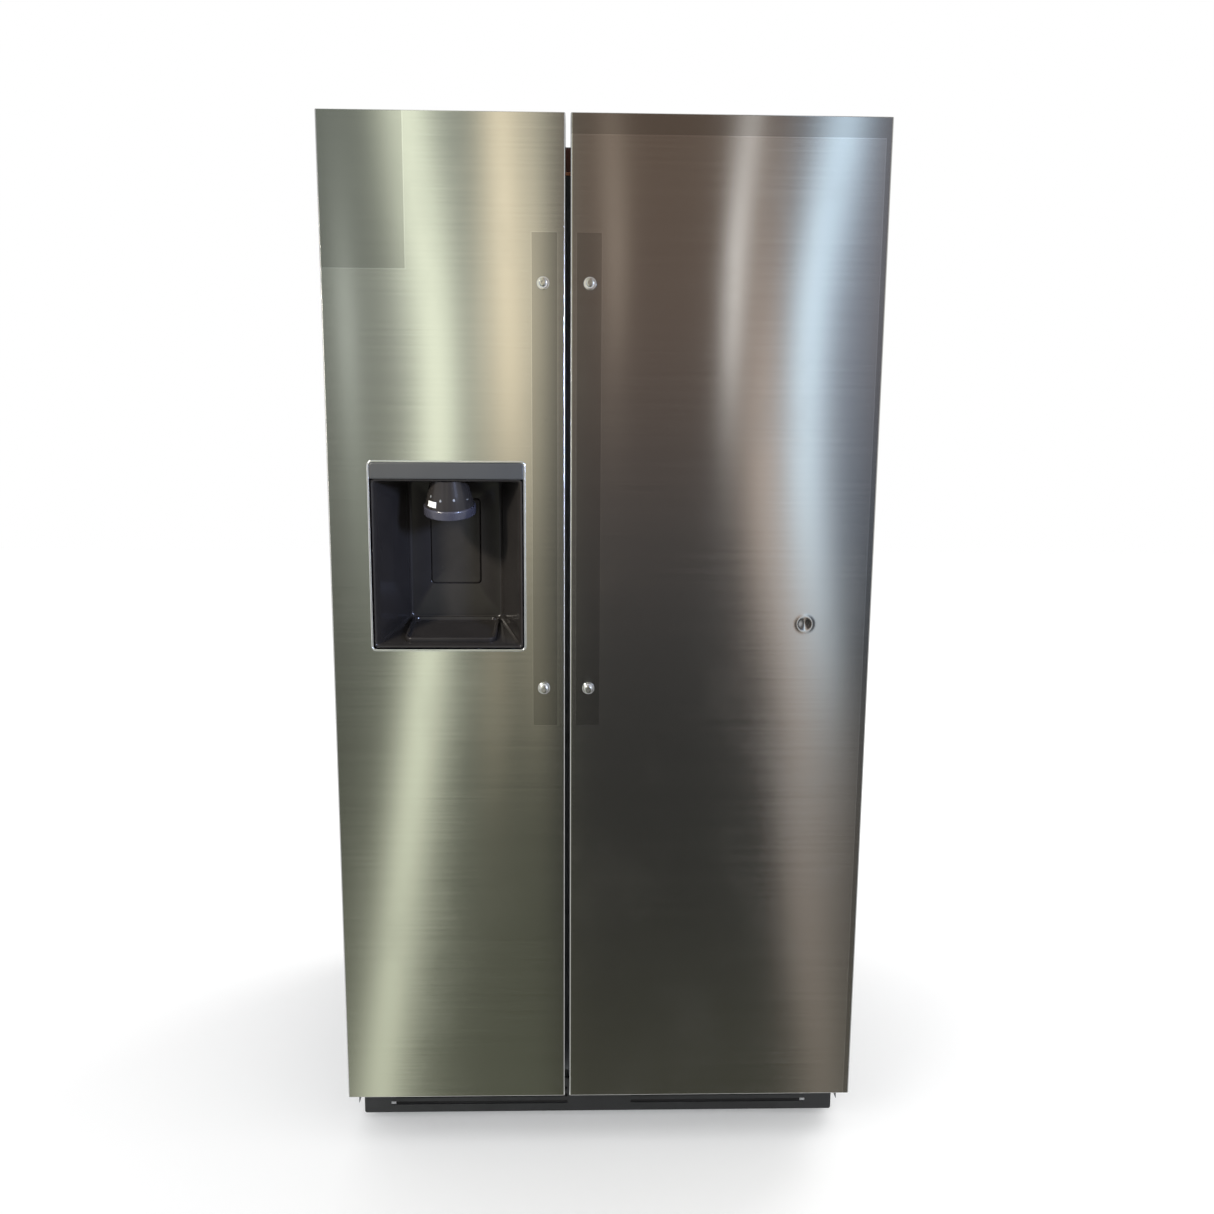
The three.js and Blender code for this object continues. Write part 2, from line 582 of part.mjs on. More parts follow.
function makeMachine(group) {
  const deckTop = DECK + 3;
  const coverY = CASE_DEPTH - MACHINE_COVER_INSET;
  const centreY = CASE_DEPTH - MACHINE_DEPTH / 2;
  const halfWide = CASE_HALF - SHEET - FIT;
  const vents = [];
  for (let i = 0; i < VENTS.count; i += 1) {
    const x = VENTS.fromEdge + i * VENTS.pitch - halfWide;
    vents.push(block(x, x + VENTS.width, coverY - 4, coverY + 4, VENTS.low, VENTS.high));
  }
  const glandX = halfWide - GLAND.fromEdge;
  const glandHole = rodY(GLAND.radius, glandX, coverY - 4, coverY + 4, GLAND.z, 24);
  const cover = block(-halfWide, halfWide, coverY - 1.5, coverY, DECK + 14, MACHINE_TOP - FIT);
  piece(group, "machine_cover", build([cover], [...vents, glandHole]), GALVANISED);

  const gland = build(
    [
      rodY(GLAND.flange, glandX, coverY - 6, coverY - 1.5 - FIT, GLAND.z, 24),
      rodY(GLAND.radius - FIT, glandX, coverY - 3, CASE_DEPTH - 1, GLAND.z, 24),
    ],
    [rodY(GLAND.cord, glandX, coverY - 10, CASE_DEPTH + 5, GLAND.z, 16)],
  );
  piece(group, "cord_gland", gland, RUBBER_BLACK);

  // hermetic compressor on its mounting plate
  const potX = POT.x;
  const pot = POT.profile.map(([r, z]) => new THREE.Vector2(r, z));
  const dome = new THREE.LatheGeometry(pot, 20).rotateX(Math.PI / 2).translate(potX, centreY, deckTop);
  const [halfX, halfY] = POT.plateHalf;
  const plate = block(potX - halfX, potX + halfX, centreY - halfY, centreY + halfY, deckTop + 8, deckTop + 14);
  const pads = [];
  for (const sx of [-1, 1]) {
    for (const sy of [-1, 1]) {
      const [x, y] = [potX + sx * POT.padAt[0], centreY + sy * POT.padAt[1]];
      pads.push(rodZ(POT.padRadius, x, y, deckTop + FIT, deckTop + 20, 10));
    }
  }
  const starter = block(potX - 105, potX - 70, centreY - 30, centreY + 30, deckTop + 50, deckTop + 100);
  piece(group, "compressor", build([dome, plate, starter, ...pads]), COMPRESSOR_BLACK);

  // condenser coil block with the shroud and motor of its fan
  const [coilZ0, coilZ1] = [deckTop + COIL.rise, deckTop + COIL.top];
  const coil = [block(COIL.left, COIL.right, centreY - 4, centreY + 4, deckTop + FIT, coilZ1)];
  const finPitch = (COIL.right - COIL.left - COIL.fin) / (COIL.fins - 1);
  for (let i = 0; i < COIL.fins; i += 1) {
    const x = COIL.left + i * finPitch;
    coil.push(block(x, x + COIL.fin, centreY - COIL.halfDeep, centreY + COIL.halfDeep, coilZ0, coilZ1));
  }
  const fanZ = (coilZ0 + coilZ1) / 2;
  const shroudX = COIL.right + FAN.mount;
  coil.push(block(COIL.right - 2, shroudX, centreY - 4, centreY + 4, fanZ - FAN.hub, fanZ + FAN.hub));
  coil.push(rodX(20, COIL.right + 4, shroudX, centreY, fanZ));
  coil.push(rodX(FAN.shaft, shroudX - 4, shroudX + 30, centreY, fanZ, 12));
  piece(group, "condenser", build(coil), ALUMINIUM_FIN);
  const blades = fanWheel(FAN.hub, FAN.tip, FAN.depth, FAN.blades);
  const wheel = build([blades], [rodY(FAN.shaft + RUNNING, 0, -5, 30, 0, 12)]);
  wheel.rotateZ(-Math.PI / 2);
  piece(group, "condenser_fan", wheel, RECESS_BLACK).position.set(shroudX + 2, centreY, fanZ);
}

// ---- hinges: s is -1 on the left and 1 on the right ----
const pinX = (s) => s * (DOOR_SET_WIDTH / 2 - PIN_INSET);
const PIN_Y = PIN_DEPTH - DOOR_THICKNESS - SEAL_GAP;

function makeHinges(group) {
  const pocketFloor = DOOR_TOP - HINGE_POCKET_DEPTH;
  const armLow = pocketFloor + 2;
  const arm = HINGE_ARM / 2;
  const half = 30;
  for (const [s, side] of [[-1, "left"], [1, "right"]]) {
    const x = pinX(s);
    const inward = [x - s * half * 1.6, x + s * (arm - 1)].sort((a, b) => a - b);
    const top = build([
      block(...inward, 12, 110, CASE_TOP + FIT, CASE_TOP + FIT + HINGE_PLATE),
      block(x - arm, x + arm, 12, 40, CASE_TOP + FIT, armLow + HINGE_PLATE),
      block(x - arm, x + arm, PIN_Y, 40, armLow, armLow + HINGE_PLATE),
      rodZ(arm, x, PIN_Y, armLow, armLow + HINGE_PLATE, 24),
      rodZ(PIN_RADIUS, x, PIN_Y, armLow - PIN_LENGTH + 2, armLow + 1, 24),
    ]);
    piece(group, `top_hinge_${side}`, top, GALVANISED);

    const plateTop = DOOR_ABOVE_FLOOR - 4;
    const lowArm = plateTop - HINGE_PLATE;
    const wide = [x - s * 44, x + s * arm].sort((a, b) => a - b);
    const bottom = build([
      block(...wide, -2, 14 - FIT, DECK + 4, plateTop),
      block(x - arm, x + arm, PIN_Y, 0, lowArm, plateTop),
      rodZ(arm, x, PIN_Y, lowArm, plateTop, 24),
      rodZ(PIN_RADIUS, x, PIN_Y, plateTop - 1, plateTop + PIN_LENGTH + 4, 24),
      rodZ(PIN_RADIUS + 4, x, PIN_Y, plateTop - 1, plateTop + 3, 24),
    ]);
    piece(group, `bottom_hinge_${side}`, bottom, GALVANISED);
  }
}

// ---- doors: X from the door's left edge, Y back from its face, Z up from its bottom ----
// Everything that both doors share is worked out here once for each door.
function doorPlan(width, hingeSide, room, studEdge) {
  const leftEdge = hingeSide < 0 ? -DOOR_SET_WIDTH / 2 : DOOR_SET_WIDTH / 2 - width;
  const mouth = [room.left - leftEdge, room.right - leftEdge];
  const clear = hingeSide < 0
    ? [DYKE_HINGE_CLEAR, DYKE_SWING_CLEAR]
    : [DYKE_SWING_CLEAR, DYKE_HINGE_CLEAR];
  const pin = hingeSide < 0 ? PIN_INSET : width - PIN_INSET;
  const stud = hingeSide < 0 ? width - studEdge : studEdge;
  return {
    width,
    hingeSide,
    leftEdge,
    mouth,
    dykes: [mouth[0] + clear[0], mouth[1] - clear[1]],
    inside: [mouth[0] + clear[0] + DYKE_WIDTH, mouth[1] - clear[1] - DYKE_WIDTH],
    floor: COMPARTMENT.floor - DOOR_ABOVE_FLOOR,
    top: COMPARTMENT.top - DOOR_ABOVE_FLOOR,
    pin,
    stud,
    studs: [DOOR_HEIGHT - STUD_TOP_DROP - STUD_SPACING, DOOR_HEIGHT - STUD_TOP_DROP],
  };
}

// The pocket in the door's top corner that the top hinge arm swings in.
function hingePocket(plan) {
  const span = plan.hingeSide < 0
    ? [-1, HINGE_POCKET]
    : [plan.width - HINGE_POCKET, plan.width + 1];
  const low = DOOR_HEIGHT - HINGE_POCKET_DEPTH;
  return block(...span, HINGE_POCKET_LIP, DOOR_THICKNESS + 1, low, DOOR_HEIGHT + 1);
}

function makeSkin(group, name, plan, holes) {
  const { width } = plan;
  const r = SKIN_EDGE_RADIUS;
  const shape = new THREE.Shape();
  shape.moveTo(0, SKIN_RETURN);
  shape.lineTo(0, r);
  shape.absarc(r, r, r, Math.PI, 1.5 * Math.PI);
  shape.lineTo(width - r, 0);
  shape.absarc(width - r, r, r, -Math.PI / 2, 0);
  shape.lineTo(width, SKIN_RETURN);
  shape.lineTo(width - SHEET, SKIN_RETURN);
  shape.lineTo(width - SHEET, r);
  shape.absarc(width - r, r, r - SHEET, 0, -Math.PI / 2, true);
  shape.lineTo(r, SHEET);
  shape.absarc(r, r, r - SHEET, 1.5 * Math.PI, Math.PI, true);
  shape.lineTo(SHEET, SKIN_RETURN);
  shape.closePath();
  const studHoles = plan.studs.map((z) =>
    rodY(STUD_RADIUS + FIT, plan.stud, -2, SHEET + 3, z, 24),
  );
  const sheet = alongZ(shape, 0, DOOR_HEIGHT);
  piece(group, name, build([sheet], [hingePocket(plan), ...studHoles, ...holes]), STAINLESS);
}

const BAR_HALF = 10;

function makeCore(group, name, plan, added, cut) {
  const gap = SHEET + FIT;
  const high = DOOR_HEIGHT - TOP_CAP_HEIGHT - FIT;
  const r = SKIN_EDGE_RADIUS - gap;
  const shape = new THREE.Shape();
  shape.moveTo(gap, DOOR_THICKNESS);
  shape.lineTo(gap, gap + r);
  shape.absarc(gap + r, gap + r, r, Math.PI, 1.5 * Math.PI);
  shape.absarc(plan.width - gap - r, gap + r, r, -Math.PI / 2, 0);
  shape.lineTo(plan.width - gap, DOOR_THICKNESS);
  shape.closePath();
  const slab = alongZ(shape, BOTTOM_RECESS, high);
  const dykeFloor = plan.floor + 22;
  const dykeTop = plan.top - 22;
  const [d0, d1] = plan.dykes;
  const reach = DOOR_THICKNESS + DYKE_DEPTH;
  const dykes = [
    block(d0, d0 + DYKE_WIDTH, DOOR_THICKNESS - 2, reach, dykeFloor, dykeTop),
    block(d1 - DYKE_WIDTH, d1, DOOR_THICKNESS - 2, reach, dykeFloor, dykeTop),
  ];
  const slot = block(
    plan.stud - BAR_HALF - FIT,
    plan.stud + BAR_HALF + FIT,
    0,
    SHEET + FIT + 3 + FIT,
    plan.studs[0] - 20 - FIT,
    plan.studs[1] + 20 + FIT,
  );
  const pinBore = rodZ(PIN_RADIUS + RUNNING, plan.pin, PIN_DEPTH, -5, PIN_LENGTH + 6, 24);
  const geometry = build([slab, ...dykes, ...added], [slot, pinBore, ...cut]);
  piece(group, name, geometry, WHITE_LINER);
}

function makeTopCap(group, name, plan) {
  const gap = SHEET + FIT;
  const [z0, z1] = [DOOR_HEIGHT - TOP_CAP_HEIGHT, DOOR_HEIGHT - 1];
  const inset = SKIN_EDGE_RADIUS;
  const whole = outline([
    [gap, inset],
    [inset, gap],
    [plan.width - inset, gap],
    [plan.width - gap, inset],
    [plan.width - gap, DOOR_THICKNESS],
    [gap, DOOR_THICKNESS],
  ]);
  const bore = rodZ(PIN_RADIUS + RUNNING, plan.pin, PIN_DEPTH, z0 - 1, z1, 24);
  piece(group, name, build([alongZ(whole, z0, z1)], [hingePocket(plan), bore]), CAP_PLASTIC);
}

function makeGasket(group, name, plan) {
  const [x0, x1] = [plan.mouth[0] - LINER_WALL, plan.mouth[1] + LINER_WALL];
  const [z0, z1] = [plan.floor - LINER_WALL, plan.top + LINER_WALL];
  const w = GASKET_WIDTH;
  const ring = roundedRect(x0 - w, x1 + w, z0 - w, z1 + w, 12);
  ring.holes.push(roundedRect(x0, x1, z0, z1, 4));
  const seal = alongY(ring, DOOR_THICKNESS + FIT, DOOR_THICKNESS + SEAL_GAP - FIT);
  piece(group, name, seal, GASKET_GREY);
}

// Two studs on the nut bar behind the skin, each with a hexagon socket.
function makeStuds(group, name, plan) {
  const barY = SHEET + FIT;
  const bar = block(
    plan.stud - BAR_HALF,
    plan.stud + BAR_HALF,
    barY,
    barY + 3,
    plan.studs[0] - 20,
    plan.studs[1] + 20,
  );
  const studs = plan.studs.map((z) => rodY(STUD_RADIUS, plan.stud, -STUD_REACH, barY + 1, z, 24));
  const sockets = plan.studs.map((z) => rodY(3.2, plan.stud, -STUD_REACH - 1, 8 - STUD_REACH, z, 6));
  piece(group, name, build([bar, ...studs], sockets), BRIGHT_METAL);
}

// Lugs on the dykes that a bin's ends rest on.
function lugs(plan, z) {
  const [a, b] = plan.inside;
  const [y0, y1] = [DOOR_THICKNESS + 20, DOOR_THICKNESS + DYKE_DEPTH - 10];
  return [
    block(a - 1, a + LUG, y0, y1, z - LUG - FIT, z - FIT),
    block(b - LUG, b + 1, y0, y1, z - LUG - FIT, z - FIT),
  ];
}

function makeBin(group, name, plan, z, height, depth) {
  const [a, b] = [plan.inside[0] + 1, plan.inside[1] - 1];
  const y0 = DOOR_THICKNESS + FIT;
  piece(group, name, container(a, b, y0, y0 + depth, z, z + height, BIN_WALL), CLEAR_PLASTIC);
}

function makeFreezerDoor() {
  const group = new THREE.Group();
  const plan = doorPlan(FREEZER_DOOR_WIDTH, -1, FREEZER, STUD_EDGE_FREEZER);
  group.position.set(plan.leftEdge, FACE_Y, DOOR_ABOVE_FLOOR);
  const centre = plan.width / 2;
  const top = DOOR_HEIGHT - DISPENSER_DROP;
  const low = top - DISPENSER_HEIGHT;
  const half = DISPENSER_WIDTH / 2;
  const chute = { x: centre, y: CHUTE_BEHIND_FACE, z: top - CHUTE_DROP };

  const opening = (y0, y1, grow) => {
    const [left, right] = [centre - half - grow, centre + half + grow];
    return alongY(roundedRect(left, right, low - grow, top + grow, TRIM_RADIUS), y0, y1);
  };
  makeSkin(group, "freezer_door_skin", plan, [opening(-2, 4, FIT)]);

  // the bulge behind the recess joins the dykes; ice drops through a sloping duct above it
  const bulgeLow = low - BULGE_WALL;
  const bulgeTop = top + BULGE_WALL;
  const bulgeBack = DOOR_THICKNESS + DYKE_DEPTH;
  const bulge = block(...plan.dykes, DOOR_THICKNESS - 2, bulgeBack, bulgeLow, bulgeTop);
  const pocketBack = DISPENSER_DEPTH + PADDLE_SWING + 2 * HOUSING_WALL;
  const recess = block(centre - half, centre + half, 10, pocketBack, low, top);
  const ductLean = Math.PI / 4.6;
  const duct = new THREE.CylinderGeometry(CHUTE_BORE, CHUTE_BORE, 120, 24)
    .rotateX(Math.PI / 2 - ductLean)
    .translate(centre, chute.y + 46, top + 8);
  const binStep = (bulgeLow - plan.floor - BIN_FLOOR_GAP / 2) / 2;
  const binLevels = [plan.floor + BIN_FLOOR_GAP / 2, plan.floor + BIN_FLOOR_GAP / 2 + binStep];
  const supports = binLevels.flatMap((z) => lugs(plan, z));
  makeCore(group, "freezer_door_core", plan, [bulge, ...supports], [opening(0, 12, FIT), recess, duct]);
  makeTopCap(group, "freezer_door_top_cap", plan);
  makeGasket(group, "freezer_door_gasket", plan);
  makeStuds(group, "freezer_handle_studs", plan);
  binLevels.forEach((z, i) => makeBin(group, `freezer_bin_${i + 1}`, plan, z, BIN_HEIGHT, BIN_REACH));
  makeIceBin(group, plan, bulgeTop + 3, centre);
  makeDispenser(group, { centre, half, low, top, duct, chute });
  return group;
}

function makeIceBin(group, plan, z0, centre) {
  const [a, b] = [plan.inside[0] + 1, plan.inside[1] - 1];
  const y0 = DOOR_THICKNESS + FIT;
  const y1 = y0 + ICE_BIN_DEPTH;
  const middle = (y0 + y1) / 2;
  const axisZ = z0 + AUGER_RADIUS + 12;
  const outlet = rodZ(CHUTE_BORE, centre, middle, z0 - 5, z0 + 10, 24);
  const bushing = BIN_WALL * 1.6;
  const bores = [rodX(5 + RUNNING, a - 1, a + bushing, middle, axisZ, 16)];
  const walls = container(a, b, y0, y1, z0, z0 + ICE_BIN_HEIGHT, BIN_WALL);
  piece(group, "ice_bin", build([walls], [outlet, ...bores]), CLEAR_PLASTIC);

  // wire auger on a shaft whose near end turns in the bin's side
  class Helix extends THREE.Curve {
    getPoint(t) {
      const ramp = Math.min(1, t * 7, (1 - t) * 7);
      const turn = t * 2.5 * 2 * Math.PI;
      const r = (AUGER_RADIUS - AUGER_WIRE) * ramp;
      const x = a + 14 + t * (b - a - 34);
      return new THREE.Vector3(x, r * Math.cos(turn), r * Math.sin(turn));
    }
  }
  const section = new THREE.Shape().absarc(0, 0, AUGER_WIRE, 0, 2 * Math.PI);
  const options = { steps: 44, bevelEnabled: false, extrudePath: new Helix(), curveSegments: 3 };
  const wire = new THREE.ExtrudeGeometry(section, options);
  const shaft = rodX(5, a - 0.5, b - 16, 0, 0, 16);
  const auger = build([shaft, wire]);
  piece(group, "ice_auger", auger, BRIGHT_METAL).position.set(0, middle, axisZ);
}

// The lit recess that cups are filled in: trim ring, band, tub, chute, paddle and tray.
function makeDispenser(group, { centre, half, low, top, duct, chute }) {
  const [x0, x1] = [centre - half, centre + half];
  const ring = roundedRect(x0, x1, low, top, TRIM_RADIUS);
  const innerRadius = TRIM_RADIUS - TRIM_WIDTH;
  const [i0, i1, iLow, iTop] = [x0 + TRIM_WIDTH, x1 - TRIM_WIDTH, low + TRIM_WIDTH, top - TRIM_WIDTH];
  ring.holes.push(roundedRect(i0, i1, iLow, iTop, innerRadius));
  piece(group, "dispenser_trim", alongY(ring, -TRIM_PROUD, TRIM_LENGTH - 6), BRIGHT_METAL);

  const bandLow = iTop - FIT - BAND_HEIGHT;
  const band = new THREE.Shape();
  band.moveTo(i0 + FIT, bandLow);
  band.lineTo(i1 - FIT, bandLow);
  band.absarc(i1 - FIT - innerRadius, iTop - FIT - innerRadius, innerRadius, 0, Math.PI / 2);
  band.absarc(i0 + FIT + innerRadius, iTop - FIT - innerRadius, innerRadius, Math.PI / 2, Math.PI);
  band.closePath();
  piece(group, "dispenser_band", alongY(band, -0.6, TRIM_LENGTH - 8), BAND_GREY);

  // tub: its mouth under the band, its sides leaning in towards the back
  const inset = 2;
  const w = HOUSING_WALL;
  const mouthTop = bandLow - FIT;
  const front = [i0 + inset, i1 - inset, iLow + inset, mouthTop];
  const back = [
    x0 + TRIM_WIDTH + RECESS_TAPER + 2 * FIT,
    x1 - TRIM_WIDTH - RECESS_TAPER - 2 * FIT,
    iLow + RECESS_FLOOR_RISE,
    mouthTop,
  ];
  const shrink = ([a, b, c, d], t) => [a + t, b - t, c + t, d - t];
  const deep = DISPENSER_DEPTH;
  const outer = taperedBlock(1, front, deep + w, shrink(back, -w + inset));
  const inner = taperedBlock(0.5, shrink(front, w), deep, shrink(back, 0));
  const paddleTop = mouthTop - w - 38;
  const paddleLow = paddleTop - PADDLE_HEIGHT;
  const pocket = [centre - PADDLE_WIDTH / 2 - 2, centre + PADDLE_WIDTH / 2 + 2, paddleLow - 3, paddleTop + 3];
  const pocketBack = deep + PADDLE_SWING;
  const boss = taperedBlock(deep, shrink(pocket, -w), pocketBack + w, shrink(pocket, -w));
  const hollow = taperedBlock(deep - 20, pocket, pocketBack, pocket);
  const hingeZ = paddleTop - 5;
  const hingeY = deep + 4;
  const pin = rodX(2, pocket[0] - 1, pocket[1] + 1, hingeY, hingeZ, 12);
  const tub = build([outer, boss], [inner, hollow, duct]);
  piece(group, "dispenser_housing", build([tub, pin]), RECESS_BLACK);

  const plate = alongY(
    roundedRect(centre - PADDLE_WIDTH / 2, centre + PADDLE_WIDTH / 2, paddleLow, paddleTop - 12, 6),
    deep - 4,
    deep - 4 + PADDLE_THICKNESS,
  );
  const barrel = rodX(5, centre - PADDLE_WIDTH / 2 + 6, centre + PADDLE_WIDTH / 2 - 6, 0, 0, 20)
    .translate(0, hingeY, hingeZ);
  const neck = block(centre - 30, centre + 30, deep - 3, deep + 3, paddleTop - 20, paddleTop - 6);
  const bore = rodX(2 + RUNNING, pocket[0] - 2, pocket[1] + 2, hingeY, hingeZ, 12);
  piece(group, "dispenser_paddle", build([plate, barrel, neck], [bore]), RECESS_BLACK);

  // chute: leaning tube under the recess ceiling with a smooth ring round its lower end
  const ringHeight = 16;
  const tubeRadius = CHUTE_RADIUS - 2;
  const profile = [
    [CHUTE_BORE, 0],
    [CHUTE_RADIUS - 1.5, 0],
    [CHUTE_RADIUS, 2],
    [CHUTE_RADIUS, ringHeight - 2],
    [CHUTE_RADIUS - 1.5, ringHeight],
    [tubeRadius, ringHeight],
    [tubeRadius, CHUTE_LENGTH * 1.5],
    [CHUTE_BORE, CHUTE_LENGTH * 1.5],
    [CHUTE_BORE, 0],
  ].map(([r, z]) => new THREE.Vector2(r, z));
  const tube = new THREE.LatheGeometry(profile, 40)
    .rotateX(Math.PI / 2 + (CHUTE_TILT * Math.PI) / 180)
    .translate(chute.x, chute.y - 6, chute.z);
  const ceiling = block(x0, x1, -50, 200, mouthTop - w - FIT, top + 200);
  const behindBand = block(x0, x1, -50, 4, bandLow - 60, top);
  piece(group, "dispenser_chute", build([tube], [ceiling, behindBand]), CHUTE_GREY);

  // shallow tray lying on the sloping floor
  const slope = Math.atan2(RECESS_FLOOR_RISE - inset - w, deep - 0.5);
  const dish = alongZ(
    roundedRect(-TRAY_WIDTH / 2, TRAY_WIDTH / 2, -TRAY_DEPTH / 2, TRAY_DEPTH / 2, 14),
    0,
    TRAY_HEIGHT,
  );
  const well = alongZ(
    roundedRect(5 - TRAY_WIDTH / 2, TRAY_WIDTH / 2 - 5, 5 - TRAY_DEPTH / 2, TRAY_DEPTH / 2 - 5, 10),
    3,
    TRAY_HEIGHT + 5,
  );
  const tray = piece(group, "drip_tray", build([dish], [well]), RECESS_BLACK);
  const trayY = deep / 2 + 2;
  const floorHere = front[2] + w + (trayY - 0.5) * Math.tan(slope);
  tray.rotation.x = slope;
  tray.position.set(centre, trayY, floorHere + 2 * FIT);
}

function makeFridgeDoor() {
  const group = new THREE.Group();
  const plan = doorPlan(FRIDGE_DOOR_WIDTH, 1, FRIDGE, STUD_EDGE_FRIDGE);
  group.position.set(plan.leftEdge, FACE_Y, DOOR_ABOVE_FLOOR);
  makeSkin(group, "fridge_door_skin", plan, []);
  const dairyTop = plan.top - BIN_REACH - 16;
  const dairyFloor = dairyTop - BIN_HEIGHT;
  const binStep = (dairyFloor - plan.floor - BIN_FLOOR_GAP / 2) / 2;
  const binLevels = [plan.floor + BIN_FLOOR_GAP / 2, plan.floor + BIN_FLOOR_GAP / 2 + binStep];
  const supports = [...binLevels, dairyFloor].flatMap((z) => lugs(plan, z));
  makeCore(group, "fridge_door_core", plan, supports, []);
  makeTopCap(group, "fridge_door_top_cap", plan);
  makeGasket(group, "fridge_door_gasket", plan);
  makeStuds(group, "fridge_handle_studs", plan);
  binLevels.forEach((z, i) => makeBin(group, `fridge_bin_${i + 1}`, plan, z, BIN_HEIGHT, BIN_REACH));
  makeBin(group, "dairy_bin", plan, dairyFloor, BIN_HEIGHT, BIN_REACH);

  const lidY = DOOR_THICKNESS + 8;
  const lidLow = dairyTop + 2;
  const [a, b] = [plan.inside[0] + 2, plan.inside[1] - 2];
  const lid = build([
    block(a, b, lidY, DOOR_THICKNESS + BIN_REACH + 4, lidLow, lidLow + 2.5),
    block(a, b, DOOR_THICKNESS + BIN_REACH + 1.5, DOOR_THICKNESS + BIN_REACH + 4, lidLow - 24, lidLow + 1),
    rodX(4, a, b, lidY, lidLow + 2, 16),
  ]);
  piece(group, "dairy_lid", lid, CLEAR_PLASTIC);
  return group;
}

// ---- the whole refrigerator ----
const refrigerator = new THREE.Group();
const cabinet = new THREE.Group();
cabinet.position.y = CASE_FRONT_Y;
makeShell(cabinet);
makeInsulation(cabinet);
makeFreezerInside(cabinet);
makeFridgeInside(cabinet);
makeBase(cabinet);
makeMachine(cabinet);
makeHinges(cabinet);
refrigerator.add(cabinet, makeFreezerDoor(), makeFridgeDoor());

export default refrigerator;
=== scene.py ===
# %% [markdown]
# # A side by side refrigerator
# The real appliance is a foamed steel cabinet with two tall doors. A narrow freezer door on the left has an ice and
# water dispenser let into it, and a wider door on the right closes the fresh food side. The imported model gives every
# real size, so each piece here takes its place from the box of the part that it covers.

import json
import math

import bmesh
import bpy
import numpy as np
from mathutils import Matrix, Vector


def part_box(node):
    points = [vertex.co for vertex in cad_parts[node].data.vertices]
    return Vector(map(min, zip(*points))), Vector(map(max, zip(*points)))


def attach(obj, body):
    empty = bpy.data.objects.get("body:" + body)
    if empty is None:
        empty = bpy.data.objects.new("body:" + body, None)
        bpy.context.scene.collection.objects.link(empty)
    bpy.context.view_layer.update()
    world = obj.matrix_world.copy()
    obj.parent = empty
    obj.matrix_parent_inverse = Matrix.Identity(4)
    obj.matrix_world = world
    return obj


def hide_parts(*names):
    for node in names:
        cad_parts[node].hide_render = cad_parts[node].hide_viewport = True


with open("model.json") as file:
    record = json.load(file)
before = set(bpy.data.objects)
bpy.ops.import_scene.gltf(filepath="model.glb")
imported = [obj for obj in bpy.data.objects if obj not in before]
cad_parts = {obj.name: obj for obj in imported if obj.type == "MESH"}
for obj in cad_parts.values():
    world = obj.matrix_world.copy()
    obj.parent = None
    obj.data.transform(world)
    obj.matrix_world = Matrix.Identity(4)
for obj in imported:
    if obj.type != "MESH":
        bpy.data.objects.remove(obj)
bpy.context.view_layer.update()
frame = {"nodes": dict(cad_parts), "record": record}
MM = 0.001

# %% [markdown]
# Most of the work below needs the same few helpers. A surface is a grid of points that numpy works out in one go. The
# grid becomes a mesh with four-sided faces, and its texture coordinates are the real distances along the surface in
# metres, so a brushed line or a grain has its true size.

# %% Small helpers for sizes and meshes
def low_high(node):
    """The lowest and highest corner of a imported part, as two arrays."""
    low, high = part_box(node)
    return np.array(low), np.array(high)


def linear(red, green, blue):
    """A screen colour from 0 to 255 as linear light: c / 12.92 near black, else ((c + 0.055) / 1.055) ** 2.4."""
    c = np.array([red, green, blue], float) / 255
    return np.where(c <= 0.04045, c / 12.92, ((c + 0.055) / 1.055) ** 2.4)


def mesh_piece(name, points, faces, uv=None, smooth=True):
    """A mesh object from an array of points and a list or array of faces, with one texture coordinate per point."""
    mesh = bpy.data.meshes.new(name)
    faces = faces.tolist() if isinstance(faces, np.ndarray) else faces
    mesh.from_pydata(np.asarray(points, float).tolist(), [], faces)
    if uv is not None:
        corner = np.empty(len(mesh.loops), int)
        mesh.loops.foreach_get("vertex_index", corner)
        layer = mesh.uv_layers.new(name="surface")
        layer.data.foreach_set("uv", np.asarray(uv, float)[corner].ravel())
    mesh.polygons.foreach_set("use_smooth", [smooth] * len(mesh.polygons))
    piece = bpy.data.objects.new(name, mesh)
    bpy.context.scene.collection.objects.link(piece)
    return piece


def grid_faces(rows, columns, close_rows=False, close_columns=False):
    """Faces of a rows by columns grid of points, wrapping round where it is closed."""
    r = np.arange(rows if close_rows else rows - 1)
    c = np.arange(columns if close_columns else columns - 1)
    r, c = np.meshgrid(r, c, indexing="ij")
    r1, c1 = (r + 1) % rows, (c + 1) % columns
    quads = np.stack([r * columns + c, r * columns + c1, r1 * columns + c1, r1 * columns + c], -1)
    return quads.reshape(-1, 4)


def faces_outwards(piece):
    """Turns every face of a closed mesh outwards, after points that coincide are merged."""
    work = bmesh.new()
    work.from_mesh(piece.data)
    bmesh.ops.remove_doubles(work, verts=work.verts, dist=1e-6)
    bmesh.ops.recalc_face_normals(work, faces=work.faces)
    work.to_mesh(piece.data)
    work.free()
    return piece


def place(piece, body, finish, covers=()):
    """Gives a piece its material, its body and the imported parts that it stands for."""
    piece.data.materials.clear()
    piece.data.materials.append(finish)
    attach(piece, body)
    if covers:
        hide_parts(*covers)
    return piece


# %% [markdown]
# The camera stands a little under two metres in front of the doors, at chest height, with a normal lens. It looks
# slightly down and a degree and a half to the left. Its place is measured from the front face of the doors.

